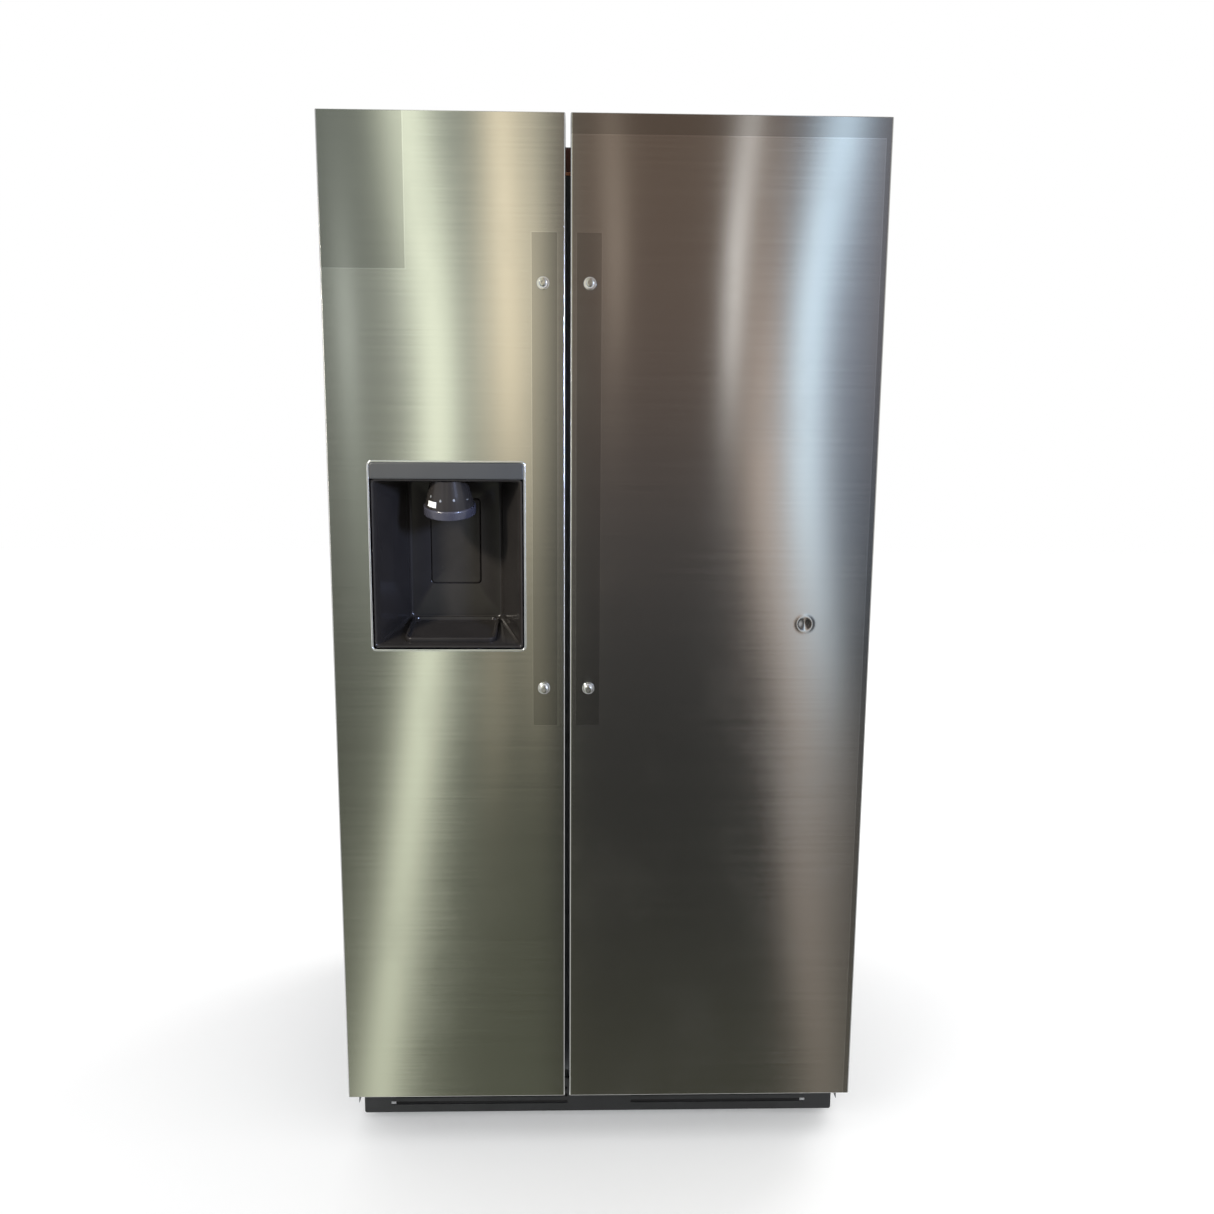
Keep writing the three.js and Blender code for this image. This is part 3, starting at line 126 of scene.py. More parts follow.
# %% Camera
DOOR_LOW, DOOR_HIGH = low_high("freezer_door_skin")
FACE = DOOR_LOW[1]
CAMERA_DISTANCE = 1.8311
CAMERA_PLACE = np.array([-0.043, FACE - CAMERA_DISTANCE, DOOR_HIGH[2] - 0.4822])
CAMERA_TURN = {"yaw": -1.552, "pitch": -9.462, "roll": 0.403}
SENSOR, FRAME_SIDE, FOCAL = 36, 1214, 1100
LENS = SENSOR * FOCAL / FRAME_SIDE


def add_camera():
    """Camera axes from three turns: about the vertical, then about its own side axis, then about its view."""
    yaw, pitch, roll = (math.radians(CAMERA_TURN[k]) for k in ("yaw", "pitch", "roll"))
    turned = (Matrix.Rotation(yaw, 3, "Z") @ Matrix.Rotation(pitch, 3, "X")).transposed()
    side, forward, up = turned[0], turned[1], turned[2]
    right = math.cos(roll) * side + math.sin(roll) * up
    above = -math.sin(roll) * side + math.cos(roll) * up
    data = bpy.data.cameras.new("front_camera")
    data.lens, data.sensor_width = LENS, SENSOR
    data.clip_start, data.clip_end = 0.05, 60
    camera = bpy.data.objects.new("front_camera", data)
    camera.matrix_world = Matrix((
        (right.x, above.x, -forward.x, CAMERA_PLACE[0]),
        (right.y, above.y, -forward.y, CAMERA_PLACE[1]),
        (right.z, above.z, -forward.z, CAMERA_PLACE[2]),
        (0, 0, 0, 1),
    ))
    bpy.context.scene.collection.objects.link(camera)
    bpy.context.scene.camera = camera
    print("camera at", [round(float(v), 3) for v in CAMERA_PLACE], "lens", round(LENS, 2))


add_camera()
bpy.context.scene.view_settings.view_transform = "Standard"

# %% [markdown]
# Polished steel shows the room more than itself, so the room matters most. The doors mirror whatever stands behind
# the camera: a pale window, warm lamps and dark furniture, each drawn out into an upright streak by the brushing.
# One large wall stands in for all of that. Its light is worked out point by point from a short list of soft upright
# lights, each given by where its reflection falls on the doors. Only glossy rays see the wall, so it casts nothing.

# %% The room that the doors mirror
WALL_DISTANCE = 2.6
STEEL_TINT = np.array([0.60, 0.60, 0.585])
SPREAD = 1 + WALL_DISTANCE / CAMERA_DISTANCE


def along(knots, height):
    """Values that run straight from knot to knot down the doors; knots are (height in mm, value)."""
    z, v = np.array(sorted(knots), float).T
    return np.interp(height, z, v)


LIGHTS = [
    {  # pale window, left door
        "tone": (242, 247, 218), "width": 25,
        "centre": [(1900, -330), (1760, -321), (1700, -315), (1640, -298), (1580, -285), (1460, -273), (1340, -269),
                   (1180, -276), (860, -300), (770, -315), (680, -325), (590, -339), (410, -360), (230, -386),
                   (140, -403), (60, -415)],
        "power": [(1900, 0.88), (1700, 0.86), (1400, 0.70), (1130, 0.68), (860, 0.72), (770, 0.70), (590, 0.58),
                  (410, 0.53), (230, 0.45), (60, 0.40)],
    },
    {  # its wide soft skirt
        "tone": (190, 194, 172), "width": 70,
        "centre": [(1784, -300), (1300, -262), (860, -300), (410, -365), (60, -420)],
        "power": [(1900, 0.10), (1400, 0.22), (1250, 0.26), (1100, 0.12), (860, 0.16), (500, 0.18), (60, 0.26)],
    },
    {  # lamp at the left edge
        "tone": (214, 224, 208), "width": 10,
        "centre": [(1700, -424), (1300, -414), (1100, -398)],
        "power": [(1700, 0.0), (1620, 0.2), (1500, 0.34), (1460, 0.55), (1400, 0.32), (1200, 0.18), (1080, 0.12),
                  (1000, 0.0)],
    },
    {  # peach lamp, left door
        "tone": (250, 228, 188), "width": 19,
        "centre": [(1900, -170), (1640, -161), (1400, -156), (1300, -155), (860, -186), (800, -180)],
        "power": [(1900, 0.62), (1640, 0.70), (1460, 0.66), (1400, 0.86), (1330, 0.62), (1240, 0.40), (1150, 0.02),
                  (930, 0.0), (880, 0.42), (840, 0.42), (800, 0.08), (760, 0.0)],
    },
    {  # its two weaker neighbours
        "tone": (206, 192, 158), "width": 13,
        "centre": [(1900, -200), (860, -196)],
        "power": [(1900, 0.10), (1560, 0.28), (1290, 0.34), (1180, 0.1), (1100, 0.0)],
    },
    {
        "tone": (214, 200, 168), "width": 17,
        "centre": [(1900, -120), (1400, -111), (1200, -118), (1000, -126), (860, -108)],
        "power": [(1900, 0.30), (1700, 0.42), (1520, 0.62), (1420, 0.46), (1290, 0.40), (1180, 0.30), (1060, 0.24),
                  (990, 0.12),
                  (920, 0.10), (880, 0.42), (840, 0.42), (800, 0.0)],
    },
    {  # dim strip beside the seam, right door
        "tone": (204, 190, 172), "width": 12,
        "centre": [(1784, 0), (1700, 10), (1580, 21), (1500, 18), (1400, 0)],
        "power": [(1900, 0.16), (1700, 0.30), (1560, 0.40), (1510, 0.50), (1450, 0.06), (1300, 0.0)],
    },
    {  # narrow white lamp, right door
        "tone": (236, 236, 232), "width": 10,
        "centre": [(1900, 240), (1760, 233), (1700, 222), (1640, 214), (1580, 209), (1460, 206), (1300, 206)],
        "power": [(1900, 0.66), (1640, 0.72), (1540, 1.2), (1500, 1.1), (1440, 0.75), (1390, 0.55), (1340, 0.12),
                  (1290, 0.0)],
    },
    {  # cool window, right door
        "tone": (204, 231, 246), "width": 23,
        "centre": [(1900, 396), (1760, 385), (1700, 370), (1640, 358), (1580, 338), (1460, 331), (1300, 329),
                   (1180, 338),
                   (1060, 354), (960, 378), (860, 394)],
        "power": [(1900, 0.92), (1580, 1.0), (1460, 0.88), (1300, 0.78), (1180, 0.70), (1060, 0.58), (960, 0.40),
                  (860, 0.22),
                  (800, 0.0)],
    },
    {  # its cool skirt
        "tone": (120, 145, 172), "width": 55,
        "centre": [(1784, 402), (1300, 385), (1000, 396)],
        "power": [(1900, 0.50), (1400, 0.44), (1130, 0.30), (1000, 0.16), (900, 0.04), (800, 0.0)],
    },
    {  # beige curtain, right door
        "tone": (184, 168, 154), "width": 27,
        "centre": [(1600, 262), (1290, 258), (1180, 268), (1060, 284), (960, 310), (860, 330), (770, 342), (590, 346),
                   (410, 352), (320, 370), (230, 400), (60, 420)],
        "power": [(1900, 0.03), (1600, 0.22), (1460, 0.44), (1310, 0.72), (1180, 0.78), (1060, 0.66), (960, 0.56),
                  (860, 0.40),
                  (770, 0.36), (590, 0.26), (410, 0.28), (230, 0.18), (60, 0.12)],
    },
    {  # the same curtain's right half
        "tone": (150, 138, 126), "width": 38,
        "centre": [(1400, 320), (960, 350), (770, 400), (60, 410)],
        "power": [(1500, 0.0), (1300, 0.30), (1060, 0.55), (960, 0.60), (770, 0.46), (500, 0.34), (300, 0.20),
                  (60, 0.10)],
    },
]
SMALL_LAMPS = [(-165, 1623, 0.75), (-414, 1491, 0.8), (-330, 1469, 0.65), (-199, 1447, 0.55), (-419, 1448, 0.6),
               (336, 1603, 0.9), (210, 1524, 0.6), (285, 1682, 0.3)]
LEFT_DARK = [(1900, (112, 117, 108)), (1400, (116, 119, 111)), (1220, (106, 108, 98)), (1040, (78, 80, 74)),
             (860, (76, 78, 68)), (680, (66, 68, 58)), (410, (70, 72, 60)), (140, (72, 74, 60)), (0, (76, 78, 64))]
RIGHT_DARK = [(1900, (92, 78, 66)), (1400, (92, 80, 72)), (1310, (78, 70, 65)), (1130, (64, 62, 61)),
              (950, (48, 48, 47)),
              (680, (40, 40, 38)), (410, (42, 42, 39)), (230, (52, 52, 43)), (140, (56, 56, 46)), (0, (58, 58, 47))]
STUDIO_WHITE = linear(228, 229, 228)


def room_light(x, z):
    """Light of the room at the spot that a door point (x, z in mm) mirrors: dark furniture plus each soft light,
    whose share is power(z) * exp(-((x - centre(z)) / width) ** 2 / 2), plus small round lamps. Beyond the doors it
    turns into a white studio with a few wide grey bands."""
    left = np.stack([along([(h, linear(*c)[i]) for h, c in LEFT_DARK], z) for i in range(3)], -1)
    right = np.stack([along([(h, linear(*c)[i]) for h, c in RIGHT_DARK], z) for i in range(3)], -1)
    side = 1 / (1 + np.exp(-(x + 78) / 14))
    light = left + (right - left) * side[..., None]
    for lamp in LIGHTS:
        offset = (x - along(lamp["centre"], z)) / lamp["width"]
        share = along(lamp["power"], z) * np.exp(-offset * offset / 2)
        light = light + share[..., None] * linear(*lamp["tone"])
    for lamp_x, lamp_z, power in SMALL_LAMPS:
        near = np.exp(-(((x - lamp_x) / 9) ** 2 + ((z - lamp_z) / 9) ** 2) / 2)
        light = light + (near * power)[..., None] * linear(250, 250, 245)
    beyond = np.clip((np.abs(x) - 540) / 240, 0, 1)[..., None]
    bands = 0.62 + 0.38 * np.sin(x / 170 + 0.4) ** 2
    return light * (1 - beyond) + beyond * bands[..., None] * STUDIO_WHITE * 0.75


def emitting(name, attribute, strength):
    """A material that gives off the colour stored on the mesh's points."""
    finish = bpy.data.materials.new(name)
    finish.use_nodes = True
    nodes, links = finish.node_tree.nodes, finish.node_tree.links
    nodes.clear()
    colour = nodes.new("ShaderNodeAttribute")
    colour.attribute_name = attribute
    glow = nodes.new("ShaderNodeEmission")
    glow.inputs["Strength"].default_value = strength
    out = nodes.new("ShaderNodeOutputMaterial")
    links.new(colour.outputs["Color"], glow.inputs["Color"])
    links.new(glow.outputs["Emission"], out.inputs["Surface"])
    return finish


def add_room():
    """A flat wall in front of the doors. A door point (x, z) mirrors camera + (point - camera) * spread."""
    fine = np.linspace(-0.52, 0.52, 261)
    x = np.concatenate([np.linspace(-3.2, -0.53, 60), fine, np.linspace(0.53, 3.2, 60)])
    z = np.concatenate([np.linspace(-1.2, -0.02, 20), np.linspace(0.0, 1.9, 191), np.linspace(1.95, 3.4, 20)])
    gx, gz = np.meshgrid(x, z, indexing="ij")
    wall_x = CAMERA_PLACE[0] + (gx - CAMERA_PLACE[0]) * SPREAD
    wall_z = CAMERA_PLACE[2] + (gz - CAMERA_PLACE[2]) * SPREAD
    points = np.stack([wall_x, np.full_like(wall_x, FACE - WALL_DISTANCE), wall_z], -1).reshape(-1, 3)
    wall = mesh_piece("room_reflections", points, grid_faces(len(x), len(z)))
    light = room_light(gx / MM, gz / MM).reshape(-1, 3) / STEEL_TINT
    colour = wall.data.attributes.new("room", "FLOAT_COLOR", "POINT")
    colour.data.foreach_set("color", np.concatenate([light, np.ones((len(light), 1))], 1).ravel())
    wall.data.materials.append(emitting("room_light", "room", 1.0))
    for flag in ("visible_camera", "visible_diffuse", "visible_transmission", "visible_shadow",
                 "visible_volume_scatter"):
        setattr(wall, flag, False)
    print("room wall:", len(points), "points, brightest", round(float(light.max()), 2))


add_room()

# %% [markdown]
# The floor is a plain pale sheet, and everything behind it is white. Two large soft lamps give the painted sides and
# the inside some shape, and two small narrow ones, one warm and one cool, reach into the dispenser. The floor is kept
# out of glossy rays, because the room wall already stands for what the lower half of the doors mirrors.

# %% Floor, sky and lamps
def add_floor():
    """A wide flat grid at floor level."""
    span = np.linspace(-9, 9, 7)
    gx, gy = np.meshgrid(span, span, indexing="ij")
    points = np.stack([gx, gy, np.zeros_like(gx)], -1).reshape(-1, 3)
    floor = mesh_piece("studio_floor", points, grid_faces(7, 7))
    finish = bpy.data.materials.new("studio_floor")
    finish.use_nodes = True
    shader = finish.node_tree.nodes["Principled BSDF"]
    shader.inputs["Base Color"].default_value = (0.93, 0.93, 0.93, 1)
    shader.inputs["Roughness"].default_value = 0.9
    shader.inputs["Specular IOR Level"].default_value = 0.1
    shader.inputs["Emission Color"].default_value = (1, 1, 1, 1)
    shader.inputs["Emission Strength"].default_value = 0.10
    floor.data.materials.append(finish)
    floor.visible_glossy = False


def add_lamp(name, place_at, aim, size, power, tone=(1, 1, 1), glossy=False, spread_angle=180):
    """A square soft lamp that points from place_at to aim. Glossy says whether reflections show it."""
    data = bpy.data.lights.new(name, "AREA")
    data.shape, data.size = "SQUARE", size
    data.energy, data.color = power, tone
    data.spread = math.radians(spread_angle)
    lamp = bpy.data.objects.new(name, data)
    lamp.location = place_at
    lamp.rotation_euler = (Vector(aim) - Vector(place_at)).to_track_quat("-Z", "Y").to_euler()
    bpy.context.scene.collection.objects.link(lamp)
    lamp.visible_glossy = glossy
    return lamp


def add_sky():
    """An even white sky."""
    world = bpy.data.worlds.new("white_studio")
    world.use_nodes = True
    background = world.node_tree.nodes["Background"]
    background.inputs["Color"].default_value = (1, 1, 1, 1)
    background.inputs["Strength"].default_value = 1.0
    bpy.context.scene.world = world


add_floor()
add_sky()
add_lamp("front_left_lamp", (-2.6, -3.4, 3.0), (0, -0.2, 0.9), 1.8, 30)
add_lamp("back_right_lamp", (3.2, 2.8, 2.8), (0, 0.2, 0.9), 2.0, 60)
RECESS_AT = (-0.26, -0.30, 1.13)
add_lamp("warm_key_lamp", (-1.40, -1.67, 2.10), RECESS_AT, 0.22, 1.25, (1.0, 0.93, 0.80), True, 24)
add_lamp("cool_side_lamp", (1.13, -1.97, 1.60), RECESS_AT, 0.26, 1.3, (0.50, 0.62, 1.0), True, 24)
print("floor, sky and four lamps")

# %% [markdown]
# Four effects are shader node groups that are built once. Brushed lines are a noise that is 280 times finer up and
# down than along. Moulded grain is a fine noise with larger soft blotches. Rub marks are cloudy patches where hands
# and cloths have been. The protective film is missing inside a few rectangles. The groups only put out masks; each
# material mixes them into its own colour, roughness and bump with its own amounts.

# %% Shader node groups
def new_group(name, inputs, outputs):
    """An empty node group with named number inputs (name, default) and number outputs."""
    group = bpy.data.node_groups.new(name, "ShaderNodeTree")
    for label, default in inputs:
        socket = group.interface.new_socket(label, in_out="INPUT", socket_type="NodeSocketFloat")
        socket.default_value = default
    for label in outputs:
        group.interface.new_socket(label, in_out="OUTPUT", socket_type="NodeSocketFloat")
    return group, group.nodes.new("NodeGroupInput"), group.nodes.new("NodeGroupOutput")


def noise_at(tree, scale_by, detail, coordinates, roughness=0.55):
    """A noise node on the given coordinates, scaled by three numbers."""
    mapping = tree.nodes.new("ShaderNodeMapping")
    mapping.inputs["Scale"].default_value = scale_by
    noise = tree.nodes.new("ShaderNodeTexNoise")
    noise.inputs["Scale"].default_value = 1.0
    noise.inputs["Detail"].default_value = detail
    noise.inputs["Roughness"].default_value = roughness
    tree.links.new(coordinates, mapping.inputs["Vector"])
    tree.links.new(mapping.outputs["Vector"], noise.inputs["Vector"])
    return noise.outputs["Fac"]


def spread(tree, value, low, high, to_low=0.0, to_high=1.0):
    """Stretches a value between two limits to a new range, softly and without leaving it."""
    ramp = tree.nodes.new("ShaderNodeMapRange")
    ramp.interpolation_type = "SMOOTHSTEP"
    for label, number in (("From Min", low), ("From Max", high), ("To Min", to_low), ("To Max", to_high)):
        ramp.inputs[label].default_value = number
    tree.links.new(value, ramp.inputs["Value"])
    return ramp.outputs["Result"]


def calc(tree, operation, first, second):
    """One Math node; each side is a socket or a number."""
    node = tree.nodes.new("ShaderNodeMath")
    node.operation = operation
    for socket, side in zip(node.inputs, (first, second)):
        if isinstance(side, (int, float)):
            socket.default_value = side
        else:
            tree.links.new(side, socket)
    return node.outputs["Value"]


def scaled(tree, mask, amount):
    """A mask times a plain number."""
    return calc(tree, "MULTIPLY", mask, amount)


def brushed_lines_group():
    """Lines: noise with 1,400 lines a metre up and down and 5 along. Bands: wider, fainter ones."""
    group, _, out = new_group("brushed_lines", [], ["Lines", "Bands"])
    place_at = group.nodes.new("ShaderNodeTexCoord").outputs["Object"]
    fine = noise_at(group, (5, 5, 1400), 4, place_at)
    wide = noise_at(group, (2, 2, 160), 3, place_at)
    group.links.new(spread(group, fine, 0.3, 0.7), out.inputs["Lines"])
    group.links.new(spread(group, wide, 0.3, 0.7), out.inputs["Bands"])
    return group


def moulded_grain_group():
    """Grain: fine even noise, Scale points a metre. Blotches: soft patches a tenth as fine."""
    group, given, out = new_group("moulded_grain", [("Scale", 900.0)], ["Grain", "Blotches"])
    place_at = group.nodes.new("ShaderNodeTexCoord").outputs["Object"]
    fine = group.nodes.new("ShaderNodeTexNoise")
    fine.inputs["Detail"].default_value = 3
    group.links.new(place_at, fine.inputs["Vector"])
    group.links.new(given.outputs["Scale"], fine.inputs["Scale"])
    soft = noise_at(group, (14, 14, 14), 3, place_at)
    group.links.new(spread(group, fine.outputs["Fac"], 0.25, 0.75), out.inputs["Grain"])
    group.links.new(spread(group, soft, 0.32, 0.68), out.inputs["Blotches"])
    return group


def rub_marks_group():
    """Marks: cloudy patches, with sparse fine specks of dust."""
    group, given, out = new_group("rub_marks", [("Coverage", 0.5)], ["Marks", "Dust"])
    place_at = group.nodes.new("ShaderNodeTexCoord").outputs["Object"]
    cloud = noise_at(group, (5, 5, 3.2), 6, place_at, 0.62)
    level = calc(group, "SUBTRACT", 0.85, scaled(group, given.outputs["Coverage"], 0.5))
    above = calc(group, "SUBTRACT", cloud, level)
    group.links.new(spread(group, above, -0.1, 0.12), out.inputs["Marks"])
    specks = noise_at(group, (420, 420, 420), 1, place_at)
    group.links.new(spread(group, specks, 0.73, 0.8), out.inputs["Dust"])
    return group


BARE_PATCHES = [(-0.0976, 1.1965, 0.0210, 0.4065), (-0.0255, 1.1965, 0.0205, 0.4065), (-0.388, 1.664, 0.068, 0.120),
                (0.200, 1.7775, 0.256, 0.0265), (0.4505, 0.94, 0.0055, 0.85)]


def film_group():
    """The least d = max(|x - cx| - w, |z - cz| - h) of the bare rectangles. Bare is where d is below 0. Edge is full
    up to 0.3 mm either side of d = 0 and gone at 1 mm, and marks a painted highlight along the film's cut edges."""
    group, _, out = new_group("protective_film", [], ["Bare", "Edge"])
    place_at = group.nodes.new("ShaderNodeTexCoord").outputs["Object"]
    apart = group.nodes.new("ShaderNodeSeparateXYZ")
    group.links.new(place_at, apart.inputs[0])
    nearest = 1.0
    for cx, cz, w, h in BARE_PATCHES:
        across = calc(group, "SUBTRACT", calc(group, "ABSOLUTE", calc(group, "SUBTRACT", apart.outputs["X"], cx), 0.0),
                      w)
        up = calc(group, "SUBTRACT", calc(group, "ABSOLUTE", calc(group, "SUBTRACT", apart.outputs["Z"], cz), 0.0), h)
        nearest = calc(group, "MINIMUM", nearest, calc(group, "MAXIMUM", across, up))
    group.links.new(spread(group, nearest, -0.0003, 0.0003, 1.0, 0.0), out.inputs["Bare"])
    group.links.new(spread(group, calc(group, "ABSOLUTE", nearest, 0.0), 0.0003, 0.0010, 1.0, 0.0), out.inputs["Edge"])
    return group


BRUSHED, GRAIN, RUBBED, FILM = brushed_lines_group(), moulded_grain_group(), rub_marks_group(), film_group()
print("node groups:", [g.name for g in bpy.data.node_groups])

# %% [markdown]
# Every finish starts from the same recipe: a base colour that a mask darkens or lightens a little, a roughness that
# another mask shifts, and a fine bump. Brushed steel is different in one way. Its scratches run across the door, so
# light spreads up and down, which is what anisotropy does; the tangent comes from the texture coordinates of the skin.

# %% Materials
def use_group(tree, group, **values):
    """Places a node group in a material and sets its inputs."""
    node = tree.nodes.new("ShaderNodeGroup")
    node.node_tree = group
    for label, number in values.items():
        node.inputs[label].default_value = number
    return node.outputs


def tinted(tree, mask, dark, light):
    """A colour that runs from dark to light with a mask."""
    mix = tree.nodes.new("ShaderNodeMix")
    mix.data_type = "RGBA"
    tree.links.new(mask, mix.inputs["Factor"])
    mix.inputs["A"].default_value = (*dark, 1)
    mix.inputs["B"].default_value = (*light, 1)
    return mix.outputs["Result"]


def mixed(tree, mask, colour, other):
    """A linked colour mixed towards a plain one by a mask."""
    mix = tree.nodes.new("ShaderNodeMix")
    mix.data_type = "RGBA"
    tree.links.new(mask, mix.inputs["Factor"])
    tree.links.new(colour, mix.inputs["A"])
    mix.inputs["B"].default_value = (*other, 1)
    return mix.outputs["Result"]


def bumped(tree, height, strength, distance):
    """A Bump node for a height mask."""
    bump = tree.nodes.new("ShaderNodeBump")
    bump.inputs["Strength"].default_value = strength
    bump.inputs["Distance"].default_value = distance
    tree.links.new(height, bump.inputs["Height"])
    return bump.outputs["Normal"]


def start_material(name, **plain):
    """A material with its Principled shader's plain values set."""
    finish = bpy.data.materials.new(name)
    finish.use_nodes = True
    shader = finish.node_tree.nodes["Principled BSDF"]
    for label, number in plain.items():
        shader.inputs[label.replace("_", " ")].default_value = number
    return finish, finish.node_tree, shader


def grained(name, colour, roughness, scale=900.0, bump=0.15, depth=0.0002, change=0.12, coverage=0.35, **plain):
    """The common recipe: moulded grain and rub marks over one colour."""
    finish, tree, shader = start_material(name, **plain)
    grain = use_group(tree, GRAIN, Scale=scale)
    marks = use_group(tree, RUBBED, Coverage=coverage)
    base = np.array(colour, float)
    tint = tinted(tree, grain["Blotches"], base * (1 - change), np.minimum(base * (1 + change), 1))
    dusty = mixed(tree, scaled(tree, marks["Dust"], 0.25), tint, np.minimum(base * 1.3 + 0.06, 1))
    tree.links.new(dusty, shader.inputs["Base Color"])
    rough = calc(tree, "ADD", roughness, scaled(tree, marks["Marks"], 0.10))
    tree.links.new(calc(tree, "ADD", rough, scaled(tree, grain["Grain"], 0.05)), shader.inputs["Roughness"])
    tree.links.new(bumped(tree, grain["Grain"], bump, depth), shader.inputs["Normal"])
    return finish


def brushed_steel(name):
    """Brushed stainless: light spreads up and down across the horizontal scratches."""
    finish, tree, shader = start_material(name, Metallic=1.0, Anisotropic=1.0, Anisotropic_Rotation=0.25)
    lines = use_group(tree, BRUSHED)
    marks = use_group(tree, RUBBED, Coverage=0.55)
    both = calc(tree, "ADD", scaled(tree, lines["Lines"], 0.65), scaled(tree, lines["Bands"], 0.35))
    steel = tinted(tree, both, STEEL_TINT * 0.955, np.minimum(STEEL_TINT * 1.045, 1))
    film = use_group(tree, FILM)
    steel = mixed(tree, scaled(tree, film["Bare"], 0.55), steel, STEEL_TINT * 0.60)
    # Painted highlight: the Edge mask lifts the steel to near white in a thin line along each cut edge of the film.
    steel = mixed(tree, scaled(tree, film["Edge"], 0.35), steel, np.ones(3) * 0.9)
    tree.links.new(steel, shader.inputs["Base Color"])
    rough = calc(tree, "ADD", 0.145, scaled(tree, both, 0.03))
    rough = calc(tree, "ADD", rough, scaled(tree, marks["Marks"], 0.03))
    tree.links.new(rough, shader.inputs["Roughness"])
    tree.links.new(bumped(tree, lines["Lines"], 0.03, 0.00002), shader.inputs["Normal"])
    tangent = tree.nodes.new("ShaderNodeTangent")
    tangent.direction_type = "UV_MAP"
    tangent.uv_map = "surface"
    tree.links.new(tangent.outputs["Tangent"], shader.inputs["Tangent"])
    return finish


def clear(name, colour, roughness, share):
    """Clear plastic or glass: mostly transmitted light, a slight tint, and rub marks that haze it."""
    finish, tree, shader = start_material(name, Transmission_Weight=share, IOR=1.5)
    grain = use_group(tree, GRAIN, Scale=60.0)
    marks = use_group(tree, RUBBED, Coverage=0.4)
    base = np.array(colour, float)
    tree.links.new(tinted(tree, grain["Blotches"], base * 0.96, np.minimum(base * 1.03, 1)),
                   shader.inputs["Base Color"])
    tree.links.new(calc(tree, "ADD", roughness, scaled(tree, marks["Marks"], 0.06)), shader.inputs["Roughness"])
    tree.links.new(bumped(tree, grain["Blotches"], 0.03, 0.0004), shader.inputs["Normal"])
    return finish


STEEL = brushed_steel("brushed_stainless")
BRIGHT = grained("polished_steel", (0.72, 0.73, 0.73), 0.16, 1500, 0.04, change=0.05, Metallic=1.0)
PAINTED = grained("textured_grey_paint", linear(104, 107, 110), 0.42, 1100, 0.5, 0.0003, 0.06, Metallic=0.0)
ZINC = grained("zinc_plated_sheet", (0.50, 0.52, 0.54), 0.36, 220, 0.08, change=0.045, Metallic=1.0)
LINER = grained("white_liner", linear(206, 209, 211), 0.28, 700, 0.10, 0.0001, 0.02)
CAP = grained("dark_cap_plastic", linear(46, 47, 49), 0.42, 1400, 0.35, 0.0001)
FOAM = grained("poured_foam", linear(226, 208, 150), 0.85, 500, 0.6, 0.0006)
VINYL = grained("grey_vinyl", linear(120, 123, 126), 0.5, 900, 0.2)
RECESS = grained("gloss_black_plastic", linear(34, 32, 31), 0.17, 1600, 0.03, 0.00005, 0.10, Specular_IOR_Level=0.2)
BAND = grained("satin_grey_plastic", linear(46, 47, 47), 0.36, 1800, 0.12, 0.00005, 0.04)
CHUTE = grained("violet_grey_plastic", linear(46, 46, 54), 0.22, 1600, 0.03, 0.00005, 0.05)
BLACK_PAINT = grained("black_enamel", linear(26, 27, 28), 0.32, 500, 0.15)
FINS = grained("bare_aluminium", (0.66, 0.67, 0.68), 0.3, 600, 0.1, Metallic=1.0)
RUBBER = grained("black_rubber", linear(30, 30, 31), 0.7, 1200, 0.3)
CLEAR = clear("clear_styrene", (0.86, 0.92, 0.95), 0.04, 0.92)
GLASS = clear("tempered_glass", (0.80, 0.93, 0.89), 0.01, 0.97)
print("materials:", len(bpy.data.materials))
SLOT_FINISH = {
    "stainless": STEEL, "bright_metal": BRIGHT, "painted_grey": PAINTED, "galvanised": ZINC, "white_liner": LINER,
    "door_core": LINER, "cap_plastic": CAP, "foam": FOAM, "gasket_grey": VINYL, "clear_plastic": CLEAR,
    "shelf_glass": GLASS, "recess_black": RECESS, "band_grey": BAND, "chute_grey": CHUTE,
    "compressor_black": BLACK_PAINT, "aluminium_fin": FINS, "rubber_black": RUBBER,
}
NODE_SLOT = {row["node"]: row["material_slot"] for row in frame["record"]["subparts"]}
for node, thing in frame["nodes"].items():
    thing.data.materials.clear()
    thing.data.materials.append(SLOT_FINISH[NODE_SLOT[node]])

# %% [markdown]
# A door skin is one sheet of steel. Its section is carried from bottom to top: a straight return on the hinge side, a
# rolled corner, the flat face, another rolled corner and a return. At the top and bottom the sheet folds inwards over
# a small radius. On the freezer door the grid stops round the dispenser, and a band of faces carries it to the rounded
# cut-out. The fridge door has one small dent, which is a smooth dip with a raised rim.

# %% Door skins
CORNER, FOLD, FOLD_REACH, RETURN = 2.6 * MM, 1.6 * MM, 3.2 * MM, 60 * MM
POCKET_DEPTH, POCKET_DROP = 11 * MM, 28 * MM
CUT_MARGIN = 12 * MM
HOLE_LOW, HOLE_HIGH = low_high("dispenser_trim")
HOLE_RADIUS, HOLE_FIT = 9 * MM, 0.3 * MM
SHEET_THICKNESS = 0.9 * MM
DENT = {"x": 0.343, "z": 0.968, "radius": 0.0065, "deep": 0.0011, "rim": 0.0003}


def spaced(breaks, step):
    """Numbers from the first break to the last, through every break, at most step apart."""
    parts = [np.linspace(a, b, max(2, int(np.ceil((b - a) / step - 1e-6)) + 1))[:-1] for a,
             b in zip(breaks, breaks[1:])]
    return np.concatenate([*parts, [breaks[-1]]])


